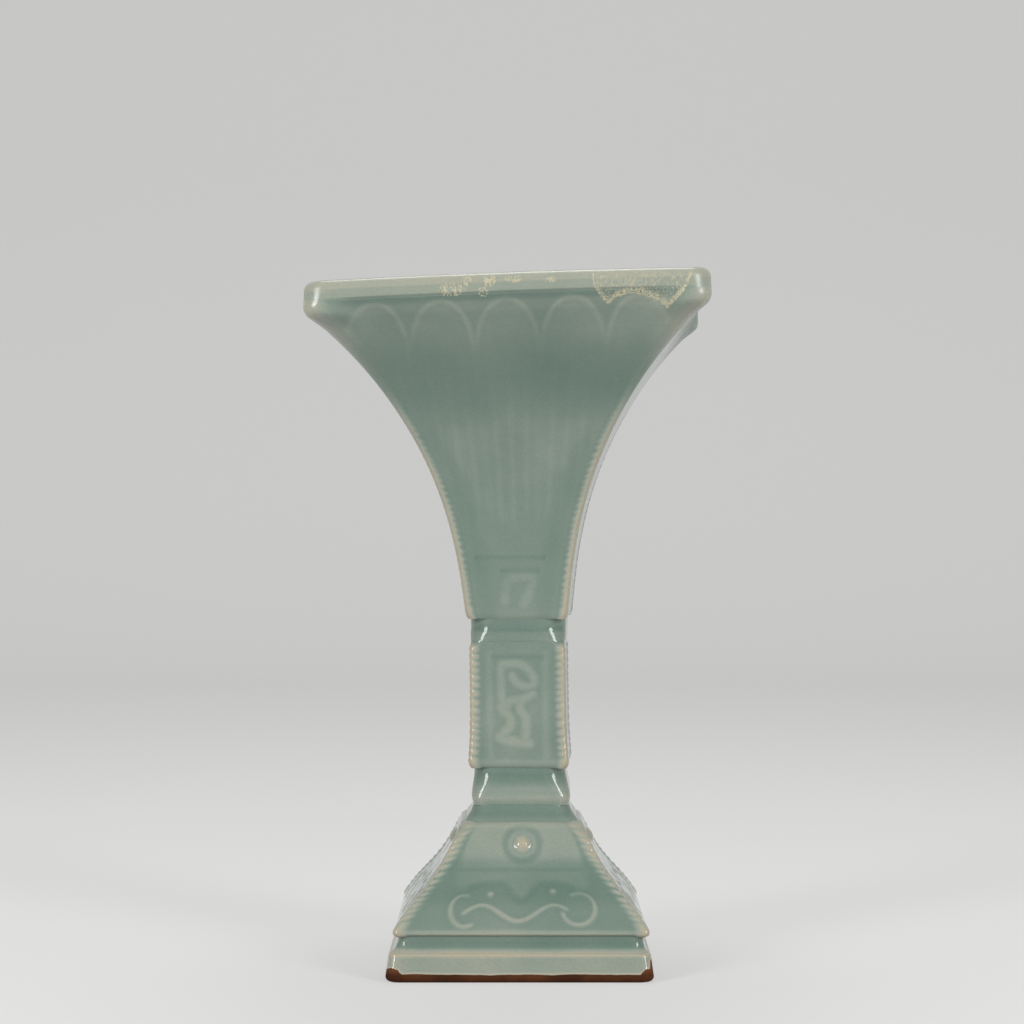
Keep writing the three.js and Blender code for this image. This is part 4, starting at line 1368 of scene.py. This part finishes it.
# Thin glaze and a painted highlight on the lower waist's roll.
ROLL_THIN_AND_HIGHLIGHT = 0.12


def make_waist(node, outer, corner, pale):
    """A band with an outer line from the bottom up, and corner radius and paleness over its height.
    Its paleness holds thin and pooled glaze, with painted shade and a painted highlight.
    """
    outer = guarded(resampled(flowing(np.array(outer)), 64))
    bore = resampled(np.array([(KNOP_BORE, outer[-1, 1]), (KNOP_BORE, outer[0, 1])]), 16)
    make_ring(node, with_corner(outer, corner(outer[:, 1])), with_corner(bore, BORE_CORNER), celadon,
              lambda points: pale(points[..., 2]))


make_waist(
    "upper_waist_ring", [
        (KNOP_TOP_HALF + 0.12 * MM, UPPER_WAIST_Z),
        (KNOP_TOP_HALF + 0.28 * MM, UPPER_WAIST_Z + 2.2 * MM),
        (KNOP_TOP_HALF + 0.20 * MM, TRUMPET_LOW_Z - 3.0 * MM),
        (KNOP_TOP_HALF + 0.38 * MM, TRUMPET_LOW_Z + 0.5 * MM),
    ],
    corner=lambda z: graded(z, WAIST_CORNERS, UPPER_WAIST_Z - 2.5 * MM, UPPER_WAIST_Z + 4.8 * MM),
    # Painted shade and pooled glaze, growing towards the trumpet's edge above.
    pale=lambda z: WAIST_POOL_AND_SHADE * ease(z, UPPER_WAIST_Z, TRUMPET_LOW_Z - 2 * MM),
)
make_waist(
    "lower_waist_ring", [
        (KNOP_HALF, LOWER_WAIST_Z - 0.5 * MM),
        (KNOP_HALF + 0.60 * MM, LOWER_WAIST_Z + 1.8 * MM),
        (KNOP_HALF + 0.40 * MM, LOWER_WAIST_Z + 4.2 * MM),
        (KNOP_HALF - 0.40 * MM, KNOP_Z - 2.4 * MM),
        (KNOP_HALF - 0.36 * MM, KNOP_Z + 0.9 * MM),
    ],
    corner=lambda z: graded(z, ROLL_CORNERS, LOWER_WAIST_Z - 1.5 * MM, KNOP_Z - 1.5 * MM),
    # Painted highlight and thin glaze on the roll, painted shade and pooled glaze under the knop.
    pale=lambda z: graded(z, (ROLL_THIN_AND_HIGHLIGHT, WAIST_POOL_AND_SHADE), LOWER_WAIST_Z + 4 * MM, KNOP_Z - 2 * MM),
)

FLOOR_EDGE = FOOT_TOP_HALF - 1.7 * MM
FLOOR_NECK = KNOP_HALF
floor_outer = guarded(resampled(flowing(np.array([
    (FLOOR_EDGE + 0.1 * MM, FLOOR_Z - 0.6 * MM), (FLOOR_EDGE - 0.5 * MM, FLOOR_Z + 0.8 * MM),
    (FLOOR_NECK + 1.1 * MM, FLOOR_Z + 2.6 * MM), (FLOOR_NECK + 0.3 * MM, LOWER_WAIST_Z - 0.7 * MM),
    (FLOOR_NECK, LOWER_WAIST_Z + 0.4 * MM),
])), 40))
MIDDLE = 0.05 * MM
floor_top = resampled(np.array([floor_outer[-1], (MIDDLE, floor_outer[-1, 1])]), 12)[1:]
floor_under = resampled(np.array([(MIDDLE, FLOOR_Z), floor_outer[0]]), 12)[:-1]
floor_inner = np.vstack([
    nested(floor_top, FLOOR_NECK, SKIRT_CORNER), nested(floor_under, FLOOR_EDGE, SKIRT_CORNER),
])
make_ring(
    "floor_slab", with_corner(floor_outer, SKIRT_CORNER), floor_inner, celadon,
    lambda points: np.full(points.shape[:2], POOLED),
)

# %% [markdown]
# The plinth is a square frame: a cove under the foot, a sharp ridge where the glaze breaks to cream,
# and an upright band that ends in the bare brown edge.

# %% Plinth
PLINTH_HALF = 40.3 * MM
PLINTH_RIDGE_Z = 8.7 * MM
PLINTH_NECK = FOOT_BOTTOM_HALF - 1.0 * MM
PLINTH_BORE = 31.3 * MM
PLINTH_CORNER = 3.2 * MM
PLINTH_BORE_CORNER = 1.5 * MM
PLINTH_ROUND = 1.6 * MM
RIDGE_ROUND = 0.9 * MM
PLINTH_LEAN = 0.85 * MM
PLINTH_PALE = 0.20
RIDGE_PALE = 0.30
RIDGE_WIDTH = 1.6 * MM
RIDGE_RAISE = 0.3 * MM
plinth_outer = np.vstack([
    [(PLINTH_BORE + 2 * MM, 0)],
    arc((PLINTH_HALF - PLINTH_ROUND, PLINTH_ROUND), PLINTH_ROUND, -90, 0),
    arc((PLINTH_HALF - PLINTH_LEAN - RIDGE_ROUND, PLINTH_RIDGE_Z - RIDGE_ROUND), RIDGE_ROUND, 0, 90),
    flowing(np.array([
        (PLINTH_HALF - 1.7 * MM, PLINTH_RIDGE_Z + 0.1 * MM),
        (PLINTH_NECK + 0.5 * MM, PLINTH_RIDGE_Z + 1.0 * MM),
        (PLINTH_NECK - 0.2 * MM, PLINTH_RIDGE_Z + 3.0 * MM),
        (PLINTH_NECK, FOOT_LOW_Z + 0.5 * MM),
    ])),
])
plinth_inner = np.array([(PLINTH_BORE, FOOT_Z), (PLINTH_BORE, 0)])


def plinth_pale(points):
    """Thin glaze on the upright band, thinnest on the ridge, and deep in the cove above it."""
    above = points[..., 2] - PLINTH_RIDGE_Z
    ridge = 1 - ease(np.abs(above - RIDGE_RAISE), 0.3 * MM, RIDGE_WIDTH)
    return graded(above, (PLINTH_PALE, POOLED), 0, RIDGE_WIDTH) + RIDGE_PALE * ridge


make_ring(
    "plinth_frame", with_corner(guarded(resampled(plinth_outer, 90)), PLINTH_CORNER),
    with_corner(resampled(plinth_inner, 16), PLINTH_BORE_CORNER), wiped, plinth_pale,
)

# %% [markdown]
# ## Coils in the seams
# A coil of clay is pressed into each inner seam and smoothed with a finger, which leaves a hollow face.
# It follows the inner line of its section, so its cross-section is repeated along that line. It sinks a
# little into both slabs, so no gap shows beside it.

# %% Seam coils
COIL_LEG = 3.6 * MM
COIL_STOP = 3 * MM
COIL_SINK = 0.3 * MM


def make_coils(section, node, material, steps=60):
    """Four coils in the inner seams of a section."""
    line = section.inner
    line = line[(line[:, 1] > line[0, 1] + COIL_STOP) & (line[:, 1] < line[-1, 1] - COIL_STOP)]
    hollow = arc((1, 1), 1, 270, 180, 8) * COIL_LEG
    x, y = np.vstack([[(0, 0)], hollow]).T
    half, height = (resampled(line, steps) + (COIL_SINK, 0)).T
    points = np.stack([half[:, None] - x, y - half[:, None], repeated(height, len(x))], axis=-1)
    index = numbered(points)
    faces = grid_faces(np.hstack([index, index[:, :1]]))
    faces += [index[0, ::-1].tolist(), index[-1].tolist()]
    marks = {name: np.zeros(index.size) for name in ("bend", "relief")}
    for count, seam in enumerate(SEAMS):
        moved = fired(quarter_turn(points, count))
        normals = normals_of(moved, (False, True)).reshape(-1, 3)
        new_piece(f"{node}_{seam}", moved.reshape(-1, 3), faces, normals, marks, [material])
    print(node, "of", len(faces), "faces")


make_coils(trumpet, "trumpet_seam_coil", celadon)
make_coils(knop, "knop_seam_coil", celadon)
make_coils(foot, "foot_seam_coil", clay)

# %% [markdown]
# ## Studio
# A plain pale sweep is both floor and backdrop. It glows a little for the camera and in reflections,
# so that it stays pale without more light on the vase. Two soft oval panels light the vase from the
# left and the right, so that flat faces stay free of glare and each rounded corner and boss gets two
# highlights. A weak one overhead brightens the lip.

# %% Floor, backdrop and light
SWEEP_DEPTH = 1.2
SWEEP_WIDTH = 6.0
SWEEP_ROUND = 0.5
SWEEP_HEIGHT = 3.0
SWEEP_FRONT = -4.0
PAPER_TONE = (0.36, 0.36, 0.355, 1)
PAPER_GLOW, PAPER_GLOW_TONE = 0.44, (1, 1, 0.99, 1)
WORLD_STRENGTH = 0.30
PANELS = {
    "left_panel": ((-0.70, -0.64, 0.36), (0.30, 0.60), 5.2),
    "right_panel": ((0.70, -0.64, 0.36), (0.30, 0.60), 5.0),
    "top_panel": ((0.0, 0.25, 0.90), (0.50, 0.30), 2.4),
}


def make_sweep():
    """Floor that curves up into a backdrop."""
    turn = arc((SWEEP_DEPTH, SWEEP_ROUND), SWEEP_ROUND, -90, 0, 24)
    line = np.vstack([[(SWEEP_FRONT, 0.0)], turn, [(SWEEP_DEPTH + SWEEP_ROUND, SWEEP_HEIGHT)]])
    points = np.array([[(x, y, z) for x in (-SWEEP_WIDTH / 2, SWEEP_WIDTH / 2)] for y, z in line])
    mesh = bpy.data.meshes.new("sweep")
    mesh.from_pydata(points.reshape(-1, 3).tolist(), [], grid_faces(numbered(points)))
    mesh.shade_smooth()
    material, shader = new_material("pale_paper")
    path = add(shader.id_data, "ShaderNodeLightPath").outputs
    seen = larger(path["Is Camera Ray"], path["Is Glossy Ray"])
    seen = larger(seen, path["Is Transmission Ray"])
    fill(shader, {
        "Base Color": PAPER_TONE,
        "Roughness": 0.9,
        "Specular IOR Level": 0.1,
        "Emission Color": PAPER_GLOW_TONE,
        "Emission Strength": times(seen, PAPER_GLOW),
    })
    mesh.materials.append(material)
    sweep = placed("sweep", mesh)


def soft_box(name, place, size, power):
    """A soft oval light panel that faces the middle of the vase."""
    lamp = bpy.data.lights.new(name, "AREA")
    lamp.shape = "ELLIPSE"
    lamp.size, lamp.size_y = size
    lamp.energy = power
    panel = placed(name, lamp)
    panel.location = place
    direction = -panel.location
    direction.z += TOP_Z / 2
    panel.rotation_euler = direction.to_track_quat("-Z", "Y").to_euler()


make_sweep()
for name, (place, size, power) in PANELS.items():
    soft_box(name, place, size, power)
world = bpy.data.worlds.new("studio")
world.use_nodes = True
fill(world.node_tree.nodes["Background"], {"Color": (1, 1, 1, 1), "Strength": WORLD_STRENGTH})
bpy.context.scene.world = world
bpy.context.scene.view_settings.view_transform = "Standard"
